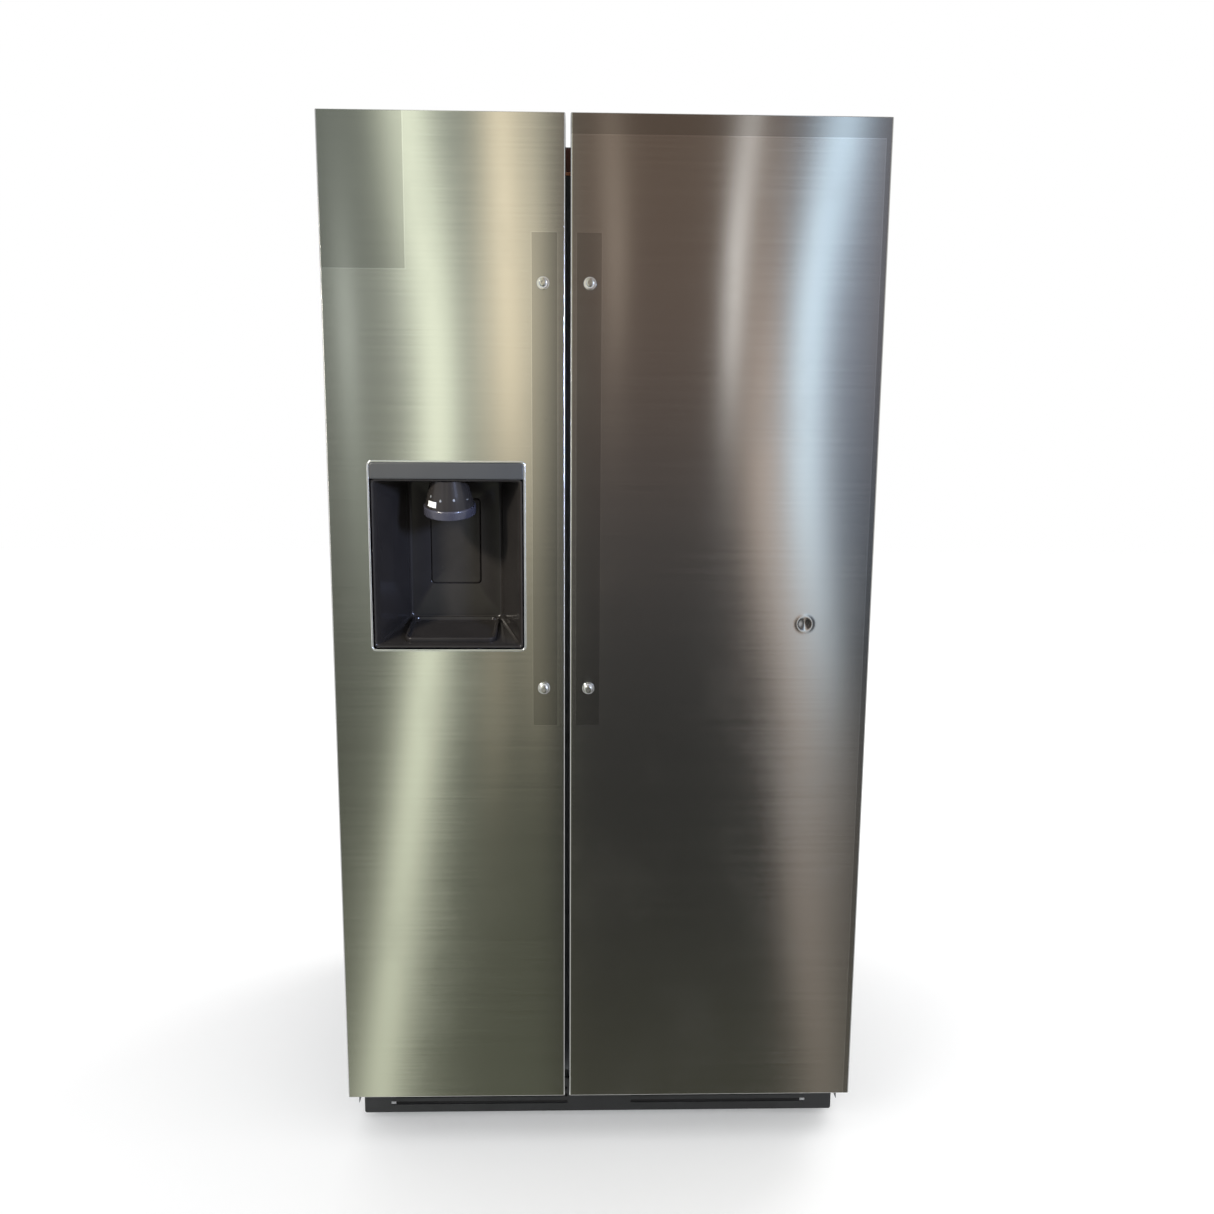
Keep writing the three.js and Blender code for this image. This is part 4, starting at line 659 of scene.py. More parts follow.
def skin_section(low_x, high_x, face_breaks):
    """The sheet's section from the left return to the right one: x, y, outward normal x and y, and distance along."""
    turn = np.radians(np.linspace(0, 90, 9))
    down = spaced([0.0, RETURN - CORNER - POCKET_DEPTH, RETURN - CORNER], 10 * MM)
    back = FACE + RETURN
    ends = [low_x + CORNER, low_x + CORNER + 0.5 * MM], [high_x - CORNER - 0.5 * MM, high_x - CORNER]
    flat = spaced([*ends[0], *face_breaks, *ends[1]], 14 * MM)[1:-1]
    left_x, left_y = np.full(len(down), low_x), back - down
    left_x, left_y = left_x[:-1], left_y[:-1]
    first = (low_x + CORNER - CORNER * np.cos(turn), FACE + CORNER - CORNER * np.sin(turn))
    last = (high_x - CORNER + CORNER * np.sin(turn), FACE + CORNER - CORNER * np.cos(turn))
    x = np.concatenate([left_x, first[0], flat, last[0], np.full(len(left_x), high_x)])
    y = np.concatenate([left_y, first[1], np.full(len(flat), FACE), last[1], left_y[::-1]])
    nx = np.concatenate([-np.ones(len(left_x)), -np.cos(turn), 0 * flat, np.sin(turn), np.ones(len(left_x))])
    ny = np.concatenate([0 * left_x, -np.sin(turn), -np.ones(len(flat)), -np.cos(turn), 0 * left_x])
    run = np.concatenate([[0], np.cumsum(np.hypot(np.diff(x), np.diff(y)))])
    return x, y, nx, ny, run


def fold_rows(low_z, high_z, breaks):
    """Heights and inward offsets: a fold is a quarter circle, z = top - r + r sin(t), inset = r (1 - cos(t))."""
    turn = np.radians(np.linspace(0, 90, 5))[1:]
    z = spaced([low_z + FOLD, low_z + FOLD + 0.5 * MM, *breaks, high_z - FOLD - 0.5 * MM, high_z - FOLD], 16 * MM)
    top_z, top_in = high_z - FOLD + FOLD * np.sin(turn), FOLD * (1 - np.cos(turn))
    low_fold = low_z + FOLD - FOLD * np.sin(turn)
    z = np.concatenate([[low_z], low_fold[::-1], z, top_z, [high_z]])
    inset = np.concatenate([[FOLD_REACH], top_in[::-1], np.zeros(len(z) - 2 * len(turn) - 2), top_in, [FOLD_REACH]])
    return z, inset


def dent_depth(x, z):
    """A dip of deep * exp(-0.8 r ** 2) and a rim of rim * exp(-4 (r - 1.9) ** 2), with r in dent radii."""
    r = np.hypot(x - DENT["x"], z - DENT["z"]) / DENT["radius"]
    return DENT["deep"] * np.exp(-(r ** 2) / 2 * 1.6) - DENT["rim"] * np.exp(-((r - 1.9) ** 2) * 4)


def rounded_edge(px, pz, low, high, radius):
    """The nearest point on a rounded rectangle: clamp to its core, then step out by the radius."""
    cx, cz = np.clip(px, low[0] + radius, high[0] - radius), np.clip(pz, low[1] + radius, high[1] - radius)
    away = np.maximum(np.hypot(px - cx, pz - cz), 1e-9)
    return cx + radius * (px - cx) / away, cz + radius * (pz - cz) / away


def make_skin(node, body, hinge_side, cut=None, dent=False):
    """A door skin: point = section(u) - normal(u) * inset(v), at height z(v)."""
    low, high = low_high(node)
    x_breaks, z_breaks = [], [high[2] - POCKET_DROP]
    if cut is not None:
        near, far = cut[0] - CUT_MARGIN, cut[1] + CUT_MARGIN
        steps_in = [(CUT_MARGIN + HOLE_RADIUS) * k / 7 for k in range(8)]
        x_breaks, cut_z = (
            sorted([*(near[i] + d for d in steps_in), *(far[i] - d for d in steps_in)]) for i in (0, 1)
        )
        z_breaks = sorted([*cut_z, *z_breaks])
    if dent:
        around = [DENT["radius"] * k * 0.3 for k in range(-12, 13)]
        x_breaks, z_breaks = [DENT["x"] + d for d in around], sorted([DENT["z"] + d for d in around] + z_breaks)
    x, y, nx, ny, run = skin_section(low[0], high[0], x_breaks)
    z, inset = fold_rows(low[2], high[2], z_breaks)
    px = x[:, None] - nx[:, None] * inset
    py = y[:, None] - ny[:, None] * inset
    pz = np.broadcast_to(z, px.shape)
    if dent:
        py = py + dent_depth(px, pz) * (ny[:, None] < -0.99)
    points = np.stack([px, py, pz], -1).reshape(-1, 3)
    uv = np.stack([np.broadcast_to(run[:, None], px.shape), pz], -1).reshape(-1, 2)
    faces = grid_faces(len(x), len(z))[:, ::-1]
    middle = points[faces].mean(1)
    hinge_x = low[0] if hinge_side < 0 else high[0]
    pocket = (np.abs(middle[:, 0] - hinge_x) < 70 * MM) & (middle[:, 1] > FACE + POCKET_DEPTH)
    keep = ~(pocket & (middle[:, 2] > high[2] - POCKET_DROP))
    if cut is not None:
        face_on = middle[:, 1] < FACE + 0.2 * MM
        inside = (middle[:, 0] > near[0]) & (middle[:, 0] < far[0]) & (middle[:, 2] > near[1]) & (middle[:,
                                                                                                         2] < far[1])
        keep &= ~(face_on & inside)
    faces = faces[keep]
    if cut is not None:
        column = np.nonzero((x >= near[0] - 1e-7) & (x <= far[0] + 1e-7) & (y < FACE + 1e-6))[0]
        row = np.nonzero((z >= near[1] - 1e-7) & (z <= far[1] + 1e-7))[0]
        loop = np.concatenate([
            column * len(z) + row[0], column[-1] * len(z) + row[1:], column[-2::-1] * len(z) + row[-1],
            column[0] * len(z) + row[-2:0:-1],
        ])
        outer = points[loop]
        ex, ez = rounded_edge(outer[:, 0], outer[:, 2], cut[0], cut[1], HOLE_RADIUS + HOLE_FIT)
        steps = np.array([0.35, 0.65, 0.85, 1.0])[:, None]
        bx, bz = outer[:, 0] + (ex - outer[:, 0]) * steps, outer[:, 2] + (ez - outer[:, 2]) * steps
        band = np.stack([bx, np.full_like(bx, FACE), bz], -1)
        turned = np.stack([bx, np.full_like(bx, FACE + 3 * MM), bz], -1)[-1:]
        band = np.concatenate([band, turned]).reshape(-1, 3)
        first = len(points)
        points = np.concatenate([points, band])
        uv = np.concatenate([uv, np.stack([np.interp(band[:, 0], x[column], run[column]), band[:, 2]], -1)])
        count, k = len(loop), np.arange(len(loop))
        ring = np.concatenate([loop[None], first + np.arange(5 * count).reshape(5, count)])
        nxt = np.roll(ring, -1, axis=1)
        quads = np.stack([ring[:-1], nxt[:-1], nxt[1:], ring[1:]], -1).reshape(-1, 4)
        faces = np.concatenate([faces, quads])
    skin = mesh_piece(node.replace("_skin", "_sheet"), points, faces, uv[:, :2])
    thick = skin.modifiers.new("sheet", "SOLIDIFY")
    thick.thickness, thick.offset = SHEET_THICKNESS, -1
    place(skin, body, STEEL, (node,))
    print(skin.name, len(points), "points")
    return skin


HOLE = (HOLE_LOW[[0, 2]], HOLE_HIGH[[0, 2]])
make_skin("freezer_door_skin", "freezer_door", -1, cut=HOLE)
make_skin("fridge_door_skin", "fridge_door", 1, dent=True)

# %% [markdown]
# Moulded parts are mostly rounded rectangles that change size with depth: a trim bead, a recess, a paddle, a tray. So
# one tool makes them all: a stack of rounded rectangles, joined ring to ring. A round part is the same idea with
# circles. Rings that come back on themselves make a bead, and rings that end in a flat cap make a solid.

# %% Stacks of rings and turned shapes
def rounded_loop(low, high, radius, arc=6):
    """Points round a rectangle from its lower right corner: corner core + radius * (cos t, sin t)."""
    radius = np.minimum(np.broadcast_to(np.asarray(radius, float), 4), 0.499 * min(high[0] - low[0], high[1] - low[1]))
    radius = np.maximum(radius, 0.05 * MM)
    turn = np.radians(np.linspace(0, 90, arc + 1))
    start = np.radians([-90, 0, 90, 180])
    core_u = np.array([high[0] - radius[0], high[0] - radius[1], low[0] + radius[2], low[0] + radius[3]])
    core_v = np.array([low[1] + radius[0], high[1] - radius[1], high[1] - radius[2], low[1] + radius[3]])
    angle = start[:, None] + turn
    u = core_u[:, None] + radius[:, None] * np.cos(angle)
    v = core_v[:, None] + radius[:, None] * np.sin(angle)
    return np.stack([u.ravel(), v.ravel()], -1)


def grown(low, high, by):
    """A rectangle made larger, or smaller by a negative amount, on every side."""
    return np.asarray(low, float) - by, np.asarray(high, float) + by


def edged(low, high, profile, corner, level):
    """Rings for ring_stack from a profile of (inset, height) in mm, with one corner radius in mm."""
    return [(*grown(low, high, -inset * MM), corner * MM, level + height * MM) for inset, height in profile]


def ring_stack(name, rings, axis="y", closed=False, caps=(False, False), arc=6, smooth=True):
    """Rings (low, high, radius, level) joined in order. Axis is the direction of the levels."""
    loops = [rounded_loop(low, high, radius, arc) for low, high, radius, _ in rings]
    flat = np.stack(loops)
    level = np.broadcast_to(np.array([r[3] for r in rings], float)[:, None], flat.shape[:2])
    order = {"y": (flat[..., 0], level, flat[..., 1]), "z": (flat[..., 0], flat[..., 1], level),
             "x": (level, flat[..., 0], flat[..., 1])}[axis]
    points = np.stack(order, -1).reshape(-1, 3)
    count = flat.shape[1]
    faces = grid_faces(len(rings), count, close_rows=closed, close_columns=True).tolist()
    if caps[0]:
        faces.append(list(range(count))[::-1])
    if caps[1]:
        faces.append(list(range((len(rings) - 1) * count, len(rings) * count)))
    piece = mesh_piece(name, points, faces, smooth=smooth)
    return faces_outwards(piece) if closed or all(caps) else piece


def turned(name, profile, centre, axis=(0, 0, 1), around=48, caps=(False, False), closed=False):
    """A profile of (radius, height) turned about an axis: centre + height * axis + radius * (cos t, sin t)."""
    radius, height = np.array(profile, float).T
    angle = np.linspace(0, 2 * math.pi, around, endpoint=False)
    ring = np.stack([np.cos(angle), np.sin(angle)], -1)
    local = np.concatenate([radius[:, None, None] * ring, np.broadcast_to(height[:, None, None], (len(radius), around,
                                                                                                  1))], -1)
    turn = np.array(Vector((0, 0, 1)).rotation_difference(Vector(axis)).to_matrix())
    points = local.reshape(-1, 3) @ turn.T + np.asarray(centre)
    faces = grid_faces(len(radius), around, close_rows=closed, close_columns=True).tolist()
    if caps[0]:
        faces.append(list(range(around))[::-1])
    if caps[1]:
        faces.append(list(range((len(radius) - 1) * around, len(radius) * around)))
    return faces_outwards(mesh_piece(name, points, faces))


def in_metres(profile):
    """A profile given in millimetres."""
    return [(radius * MM, height * MM) for radius, height in profile]


def crease(piece, angle=32):
    """Marks sharp every edge that turns by more than the angle, and every open edge."""
    piece.data.set_sharp_from_angle(angle=math.radians(angle))
    work = bmesh.new()
    work.from_mesh(piece.data)
    for edge in work.edges:
        if edge.is_boundary:
            edge.smooth = False
    work.to_mesh(piece.data)
    work.free()
    return piece


def moulding(name, rings, body, finish, slot, covers=(), angle=60, **shape):
    """A ring stack with its sharp edges marked, put in its place."""
    return place(crease(ring_stack(name, rings, **shape), angle), body, finish, covers)


for sheet in ("freezer_door_sheet", "fridge_door_sheet"):
    crease(bpy.data.objects[sheet])

# %% [markdown]
# The dispenser is a tub pushed into the door. A thin bright bead frames it, a satin band carries the blank control
# strip, and below it a glossy dark recess narrows towards the back. The floor slopes up and holds a loose drip tray.
# The paddle hangs in a shallow pocket in the back wall with a groove round it.

# %% Dispenser trim and band
TRIM_LOW, TRIM_HIGH = HOLE
BEAD = [(0.0, 4.0), (0.0, -0.9), (0.35, -1.55), (1.1, -1.8), (2.2, -1.8), (2.95, -1.55), (3.3, -0.9), (3.3, 8.0),
        (1.6, 8.0)]
trim_rings = [(*grown(TRIM_LOW, TRIM_HIGH, -i * MM), 9 * MM - i * MM, FACE + d * MM) for i, d in BEAD]
trim = moulding("dispenser_trim_bead", trim_rings, "freezer_door", BRIGHT, "bright_metal", ("dispenser_trim",),
                closed=True, arc=10)

BAND_LOW, BAND_HIGH = (corner[[0, 2]] for corner in low_high("dispenser_band"))
BAND_EDGE = [(1.2, 7.5), (0.0, 7.5), (0.0, 0.9), (0.2, 0.15), (0.7, -0.35), (1.5, -0.55), (3.0, -0.6)]
BAND_CORNERS = np.array([1.6, 5.7, 5.7, 1.6]) * MM
band_rings = [
    (*grown(BAND_LOW, BAND_HIGH, -i * MM), np.maximum(BAND_CORNERS - i * MM, 0.4 * MM), FACE + d * MM) for i,
    d in BAND_EDGE
]
band = ring_stack("dispenser_band_panel", band_rings, caps=(True, True), arc=8)
place(crease(band), "freezer_door", BAND, ("dispenser_band",))
print("trim and band:", len(trim.data.vertices) + len(band.data.vertices), "points")

# %% Recess, with its pocket for the paddle
TUB_LOW, TUB_HIGH = low_high("dispenser_housing")
PADDLE_LOW, PADDLE_HIGH = low_high("dispenser_paddle")
RECESS_DEPTH, POCKET_BACK, TUB_WALL = 130 * MM, 143 * MM, 1.6 * MM
MOUTH = (TUB_LOW[[0, 2]] + 2.5 * MM, TUB_HIGH[[0, 2]] - 2.5 * MM)
BACK_WALL = (
    np.array([TRIM_LOW[0] + 47.9 * MM, TRIM_LOW[1] + 34.3 * MM]),
    np.array([TRIM_HIGH[0] - 47.9 * MM, MOUTH[1][1]]),
)
PADDLE_SPAN = (PADDLE_LOW[[0, 2]], PADDLE_HIGH[[0, 2]])


def recess_ring(depth, inset=0.0, radius=9.0):
    """The recess at one depth: the mouth and the back wall mixed in proportion, then drawn in by the inset."""
    share = depth / RECESS_DEPTH
    low = MOUTH[0] + (BACK_WALL[0] - MOUTH[0]) * share
    high = MOUTH[1] + (BACK_WALL[1] - MOUTH[1]) * share
    return (*grown(low, high, -inset), radius * MM, FACE + depth)


tub_rings = [
    (*grown(MOUTH[0], MOUTH[1], 1.9 * MM), 5.7 * MM, FACE + 1.6 * MM),
    (*grown(MOUTH[0], MOUTH[1], 0.9 * MM), 5.9 * MM, FACE + 1.9 * MM),
    (*grown(MOUTH[0], MOUTH[1], 0.2 * MM), 6.3 * MM, FACE + 3.0 * MM),
]
tub_rings += [recess_ring(d * MM, 0, 6.5 + 0.03 * d) for d in (6, 20, 45, 75, 105, 120)]
tub_rings += [recess_ring((124 + 6 * math.sin(a)) * MM, 6 * (1 - math.cos(a)) * MM,
                          11) for a in np.radians([15, 35, 55, 75, 90])]
pocket = grown(*PADDLE_SPAN, 1.5 * MM)
tub_rings += [
    (*grown(*pocket, 1.1 * MM), 8.1 * MM, FACE + RECESS_DEPTH),
    (*grown(*pocket, 0.3 * MM), 7.3 * MM, FACE + RECESS_DEPTH + 0.3 * MM),
    (*pocket, 7 * MM, FACE + RECESS_DEPTH + 1.1 * MM),
    (*pocket, 7 * MM, FACE + POCKET_BACK - 1.5 * MM),
    (*grown(*pocket, -1.5 * MM), 6 * MM, FACE + POCKET_BACK),
]
tub = ring_stack("dispenser_recess", tub_rings, caps=(False, True), arc=8)
wall = tub.modifiers.new("wall", "SOLIDIFY")
wall.thickness, wall.offset = TUB_WALL, -1
tub.data.flip_normals()
place(crease(tub, 50), "freezer_door", RECESS, ("dispenser_housing",))
print("recess:", len(tub.data.polygons), "faces")

# %% [markdown]
# The paddle is a plate that a cup pushes. It lies almost flush with the back wall, with a thin groove round it. Its
# face is dished by a millimetre. It rides on its own body, because it swings on a pin behind its top edge.

# %% Paddle
PLATE = grown(PADDLE_SPAN[0], PADDLE_SPAN[1], 0)
plate_front = PADDLE_LOW[1]
edge = [(1.2, 6.0), (0.3, 5.6), (0.0, 4.8), (0.0, 1.6), (0.3, 0.7), (0.9, 0.2), (1.8, 0.0), (3.4, 0.1), (8.0, 0.5),
        (20.0, 1.0), (34.0, 1.2)]
paddle_rings = [
    (*grown(*PLATE, -i * MM), max(6 - i * 0.35, 1.5) * MM, plate_front + d * MM) for i, d in edge
]
paddle = moulding("dispenser_paddle_plate", paddle_rings, "paddle", RECESS, "recess_black", ("dispenser_paddle",),
                  caps=(True, True), arc=8)
print("paddle:", len(paddle.data.polygons), "faces")

# %% [markdown]
# The ice chute leans forward under the ceiling. It is a cone that narrows upwards, with a smooth ring round its mouth
# and an open bore. Four small plain marks and one blank label are laid on its front by bending flat shapes round it.

# %% Ice chute
CHUTE_LOW, CHUTE_HIGH = low_high("dispenser_chute")
LEAN = math.radians(14)
CHUTE_AXIS = np.array([0.0, -math.sin(LEAN), math.cos(LEAN)])
CHUTE_X = (CHUTE_LOW[0] + CHUTE_HIGH[0]) / 2
CHUTE_DROP, CHUTE_SET_BACK = 634 * MM, 46 * MM
CHUTE_FOOT = np.array([CHUTE_X, FACE + CHUTE_SET_BACK, DOOR_HIGH[2] - CHUTE_DROP])
RING_PROFILE = [(31, 0.4), (31.6, 0.0), (42.2, 0.0), (43.2, 0.4), (43.8, 1.2), (44.0, 2.4), (44.0, 13.2), (43.7, 14.6),
                (42.9, 15.6),
                (41.8, 16.0), (31.0, 16.0)]
CONE_PROFILE = [(25.0, 16.5), (25.0, 63), (29.6, 63), (35.5, 40), (41.3, 18), (41.4, 15.2), (40, 14.6), (26.2, 14.6)]
CONE_TAPER = (41.3 - 35.5) / (40 - 18)
FLAT_CONE = in_metres(CONE_PROFILE)
chute_ring = turned("dispenser_chute_ring", in_metres(RING_PROFILE), CHUTE_FOOT, CHUTE_AXIS, 64, closed=True)
place(crease(chute_ring, 50), "freezer_door", CHUTE, ("dispenser_chute",))
chute_cone = turned("dispenser_chute_cone", FLAT_CONE, CHUTE_FOOT, CHUTE_AXIS, 64, closed=True)
place(crease(chute_cone, 40), "freezer_door", RECESS)


def on_chute(name, outline, centre_angle, centre_height, radius, finish, lift=0.3, strip=False):
    """A flat outline (across, up in mm) bent round the cone: angle = across / radius, less radius with height."""
    flat = np.array(outline, float)
    angle = math.radians(centre_angle) + flat[:, 0] / radius
    height = (centre_height + flat[:, 1]) * MM
    side = np.array([1.0, 0, 0])
    front = np.cross(CHUTE_AXIS, side) * -1
    points = []
    for out_by in (0.05, lift):
        r = ((radius + out_by) * MM - CONE_TAPER * (height - 18 * MM))[:, None]
        outward = np.sin(angle)[:, None] * side + np.cos(angle)[:, None] * front
        points.append(CHUTE_FOOT + height[:, None] * CHUTE_AXIS + r * outward)
    n = len(flat)
    k = np.arange(n)
    faces = np.stack([k, (k + 1) % n, (k + 1) % n + n, k + n], -1).tolist()
    flats = [[k, k + 1, n - 2 - k, n - 1 - k] for k in range(n // 2 - 1)] if strip else [list(range(n))]
    faces += [face[::-1] for face in flats] + [[point + n for point in face] for face in flats]
    shape = faces_outwards(mesh_piece(name, np.concatenate(points), faces, smooth=False))
    return place(shape, "freezer_door", finish)


LABEL_WHITE = grained("paper_label", linear(190, 192, 192), 0.55, 1500, 0.1, change=0.02)
MARK_GREY = grained("printed_marks", linear(96, 99, 102), 0.5, 1500, 0.05, change=0.02)
wide, tall, sides = 10.0, 4.6, np.linspace(-1, 1, 7)
label = [(s * wide, -tall) for s in sides] + [(s * wide, tall) for s in sides[::-1]]
on_chute("chute_blank_label", label, -42, 25.0, 41.3, LABEL_WHITE, strip=True)
round_mark = [(2.1 * math.cos(a), 2.1 * math.sin(a)) for a in np.linspace(0, 2 * math.pi, 18, endpoint=False)]
drop_mark = [(1.9 * math.sin(a) * (1 if math.cos(a) < 0.2 else 0.45 + 0.55 * (1 - math.cos(a))), 2.4 * math.cos(a))
             for a in np.linspace(0, 2 * math.pi, 20, endpoint=False)]
square_mark = [(-1.9, -1.9), (1.9, -1.9), (1.9, 1.9), (-1.9, 1.9)]
bar_mark = [(-2.3, -0.7), (2.3, -0.7), (2.3, 0.7), (-2.3, 0.7)]
for k, (shape, angle, up) in enumerate(((square_mark, -50, 37), (drop_mark, -17, 33), (round_mark, 18, 34), (bar_mark,
                                                                                                             58, 31))):
    on_chute(f"chute_mark_{k + 1}", shape, angle, up, 41.3, MARK_GREY)
print("chute at", [round(float(v), 3) for v in CHUTE_FOOT])

# %% [markdown]
# The drip tray is a shallow dish with round corners and a soft rim. It lies on the sloping floor of the recess, so it
# is made level first and its points are then turned by the slope of the floor.

# %% Drip tray
TRAY_LOW, TRAY_HIGH = low_high("drip_tray")
TRAY_HALF = np.array([78.0, 52.0]) * MM
FLOOR_SLOPE = math.atan2(31 - 4.5, 129.5)
tray_centre = np.array([(TRAY_LOW[0] + TRAY_HIGH[0]) / 2, (TRAY_LOW[1] + TRAY_HIGH[1]) / 2])
TRAY_EDGE = [(3, 0), (1, 0.3), (0.2, 1.2), (0, 2.5), (0, 7.2), (0.4, 8.3), (1.4, 9), (3.4, 9), (4.4, 8.6), (5, 7.6),
             (5.4, 5.5),
             (6.6, 3.8), (9, 3.1), (12, 3)]
tray_rings = [(-TRAY_HALF + i * MM, TRAY_HALF - i * MM, (14 - 0.6 * i) * MM, h * MM) for i, h in TRAY_EDGE]
tray = ring_stack("drip_tray_dish", tray_rings, axis="z", caps=(True, True), arc=10)
tilt = Matrix.Rotation(FLOOR_SLOPE, 4, "X")
tray.data.transform(tilt)
lowest = min(v.co.z for v in tray.data.vertices)
tray.data.transform(Matrix.Translation((tray_centre[0], tray_centre[1], TRAY_LOW[2] - lowest + 0.1 * MM)))
place(crease(tray, 60), "tray", RECESS, ("drip_tray",))
print("tray:", len(tray.data.polygons), "faces, slope", round(math.degrees(FLOOR_SLOPE), 1))

# %% [markdown]
# The bar handles are off, so each door shows only the two studs that they fasten to. A stud is a turned pin with a
# collar, a chamfered end and a hexagonal socket for the key.

# %% Handle studs
SOCKET = 2.6
STUD_DROPS = {"upper": 0.260, "lower": 0.928}
STUD_PROFILE = [(3.0, 3.0), (10.2, 3.0), (10.2, 0.0), (10.0, -0.5), (9.4, -0.9), (7.4, -1.0), (7.1, -1.4), (6.3, -2.0),
                (6.3, -6.2),
                (5.7, -6.6), (5.7, -7.9), (6.3, -8.3), (6.3, -13.1), (6.0, -13.7), (5.4, -14.0), (3.6, -14.0)]


def hexagon(radius, around):
    """Points on a hexagon by angle: r = radius * cos(30) / cos(t), t the angle from the middle of the side."""
    angle = np.linspace(0, 2 * math.pi, around, endpoint=False)
    within = (angle % (math.pi / 3)) - math.pi / 6
    reach = radius * math.cos(math.pi / 6) / np.cos(within)
    return np.stack([reach * np.cos(angle), reach * np.sin(angle)], -1)


def make_stud(name, body, x, z, covers=()):
    """Rings of the turned profile, then two hexagons for the socket and its floor."""
    around = 48
    angle = np.linspace(0, 2 * math.pi, around, endpoint=False)
    circle = np.stack([np.cos(angle), np.sin(angle)], -1)
    rings = [(r * circle, d) for r, d in STUD_PROFILE]
    rings += [(hexagon(SOCKET + 0.35, around), -14.0), (hexagon(SOCKET, around), -13.6),
              (hexagon(SOCKET, around), -8.5)]
    points = np.concatenate([
        np.stack([x + ring[:, 0] * MM, np.full(around, FACE + depth * MM), z + ring[:, 1] * MM], -1) for ring,
        depth in rings
    ])
    faces = grid_faces(len(rings), around, close_columns=True).tolist()
    faces += [list(range(around))[::-1], list(range((len(rings) - 1) * around, len(rings) * around))]
    stud = faces_outwards(mesh_piece(name, points, faces))
    return place(crease(stud, 30), body, BRIGHT, covers)


for body, node, x in (("freezer_door", "freezer_handle_studs", -0.1), ("fridge_door", "fridge_handle_studs", -0.0245)):
    for label_at, drop in STUD_DROPS.items():
        covers = (node,) if label_at == "upper" else ()
        make_stud(f"{body}_stud_{label_at}", body, x, DOOR_HIGH[2] - drop, covers)
print("four studs")

# %% [markdown]
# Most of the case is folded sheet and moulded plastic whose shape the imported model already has. What it lacks is soft
# edges: no real fold or moulding ends in a perfect corner, and the thin highlight along an edge is what makes it look
# made. So a copy of each part gets its triangles merged into flat faces again, and a small bevel rounds its corners.

# %% Parts with eased edges
def eased_copy(node, width, segments=2, angle=34, finish=None, flatten=True):
    """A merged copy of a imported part, with each edge sharper than the angle rounded by the width in millimetres."""
    source = frame["nodes"][node]
    piece = bpy.data.objects.new(node + "_eased", source.data.copy())
    bpy.context.scene.collection.objects.link(piece)
    work = bmesh.new()
    work.from_mesh(piece.data)
    bmesh.ops.remove_doubles(work, verts=work.verts, dist=1e-6)
    if flatten:
        bmesh.ops.dissolve_limit(work, angle_limit=math.radians(0.6), verts=work.verts, edges=work.edges)
    work.to_mesh(piece.data)
    work.free()
    piece.data.polygons.foreach_set("use_smooth", [True] * len(piece.data.polygons))
    piece.data.set_sharp_from_angle(angle=math.radians(angle))
    round_off = piece.modifiers.new("eased", "BEVEL")
    round_off.width, round_off.segments = width * MM, segments
    round_off.limit_method, round_off.angle_limit = "ANGLE", math.radians(angle)
    round_off.harden_normals = True
    return place(piece, BODY_OF[node], finish or SLOT_FINISH[NODE_SLOT[node]], (node,))


BODY_OF = {node: body for body, members in frame["record"]["behaviour"]["bodies"].items() for node in members}
EASED = {
    "side_panel_left": 1.6, "side_panel_right": 1.6, "top_panel": 0.8, "front_frame": 1.2,
    "freezer_liner": 3.0, "fridge_liner": 3.0, "freezer_shelf": 0.8, "freezer_drawer_lower": 1.2,
    "freezer_drawer_upper": 1.2, "crisper_lower": 1.2, "crisper_upper": 1.2, "evaporator_cover": 1.6,
    "ice_maker": 0.8, "fridge_shelf_1": 0.7, "fridge_shelf_2": 0.7, "fridge_shelf_3": 0.7, "base_frame": 0.6,
    "foot_left": 0.5, "foot_right": 0.5, "roller_left": 0.8, "roller_right": 0.8, "kick_plate": 0.6,
    "machine_cover": 0.5, "cord_gland": 0.5, "condenser_fan": 0.5, "top_hinge_left": 0.5, "top_hinge_right": 0.5,
    "bottom_hinge_left": 0.5, "bottom_hinge_right": 0.5, "freezer_door_core": 2.0, "fridge_door_core": 2.0,
    "freezer_door_top_cap": 0.8, "fridge_door_top_cap": 0.8, "freezer_bin_1": 1.4, "freezer_bin_2": 1.4,
    "fridge_bin_1": 1.4, "fridge_bin_2": 1.4, "ice_bin": 1.6, "dairy_bin": 1.4, "dairy_lid": 1.0,
}
KEEP_TRIANGLES = ("freezer_liner", "freezer_drawer_lower")
for node, width in EASED.items():
    eased_copy(node, width, flatten=node not in KEEP_TRIANGLES)
print(len(EASED), "parts with eased edges")

# %% [markdown]
# A door seal is a soft bellows: a magnet tube that meets the case, a thin pleat, and a foot pushed into the door. Its
# section is drawn once as a closed line and carried round the door, which is the same closed stack of rounded
# rectangles that made the dispenser's bead.

# %% Door seals
SEAL_SECTION = [
    (1.0, 0.3), (1.0, 1.6), (3.2, 2.4), (1.8, 3.6), (1.2, 4.8), (1.6, 6.2), (0.8, 7.6), (0.8, 10.4), (1.6, 11.1),
    (11.0, 11.1),
    (11.8, 10.4), (11.8, 7.6), (11.0, 6.4), (9.4, 5.6), (11.6, 4.4), (13.0, 3.2), (13.4, 1.6), (13.4, 0.3),
]
for door in ("freezer_door", "fridge_door"):
    seal_low, seal_high = low_high(door + "_gasket")
    seal_deep = (seal_high[1] - seal_low[1]) / 11.4
    seal_rings = [
        (*grown(seal_low[[0, 2]], seal_high[[0, 2]], -i * MM), (7 - 0.3 * i) * MM, seal_low[1] + d * seal_deep)
        for i, d in SEAL_SECTION
    ]
    moulding(door + "_seal", seal_rings, door, VINYL, "gasket_grey", (door + "_gasket",), 50, closed=True, arc=5)
print("two door seals")

# %% [markdown]
# The back is one thin sheet. Long shallow beads are pressed out of it, because a flat sheet that size would drum. The
# beads are a rise in a grid of points: it follows the distance to a rounded rectangle, so its walls are even.

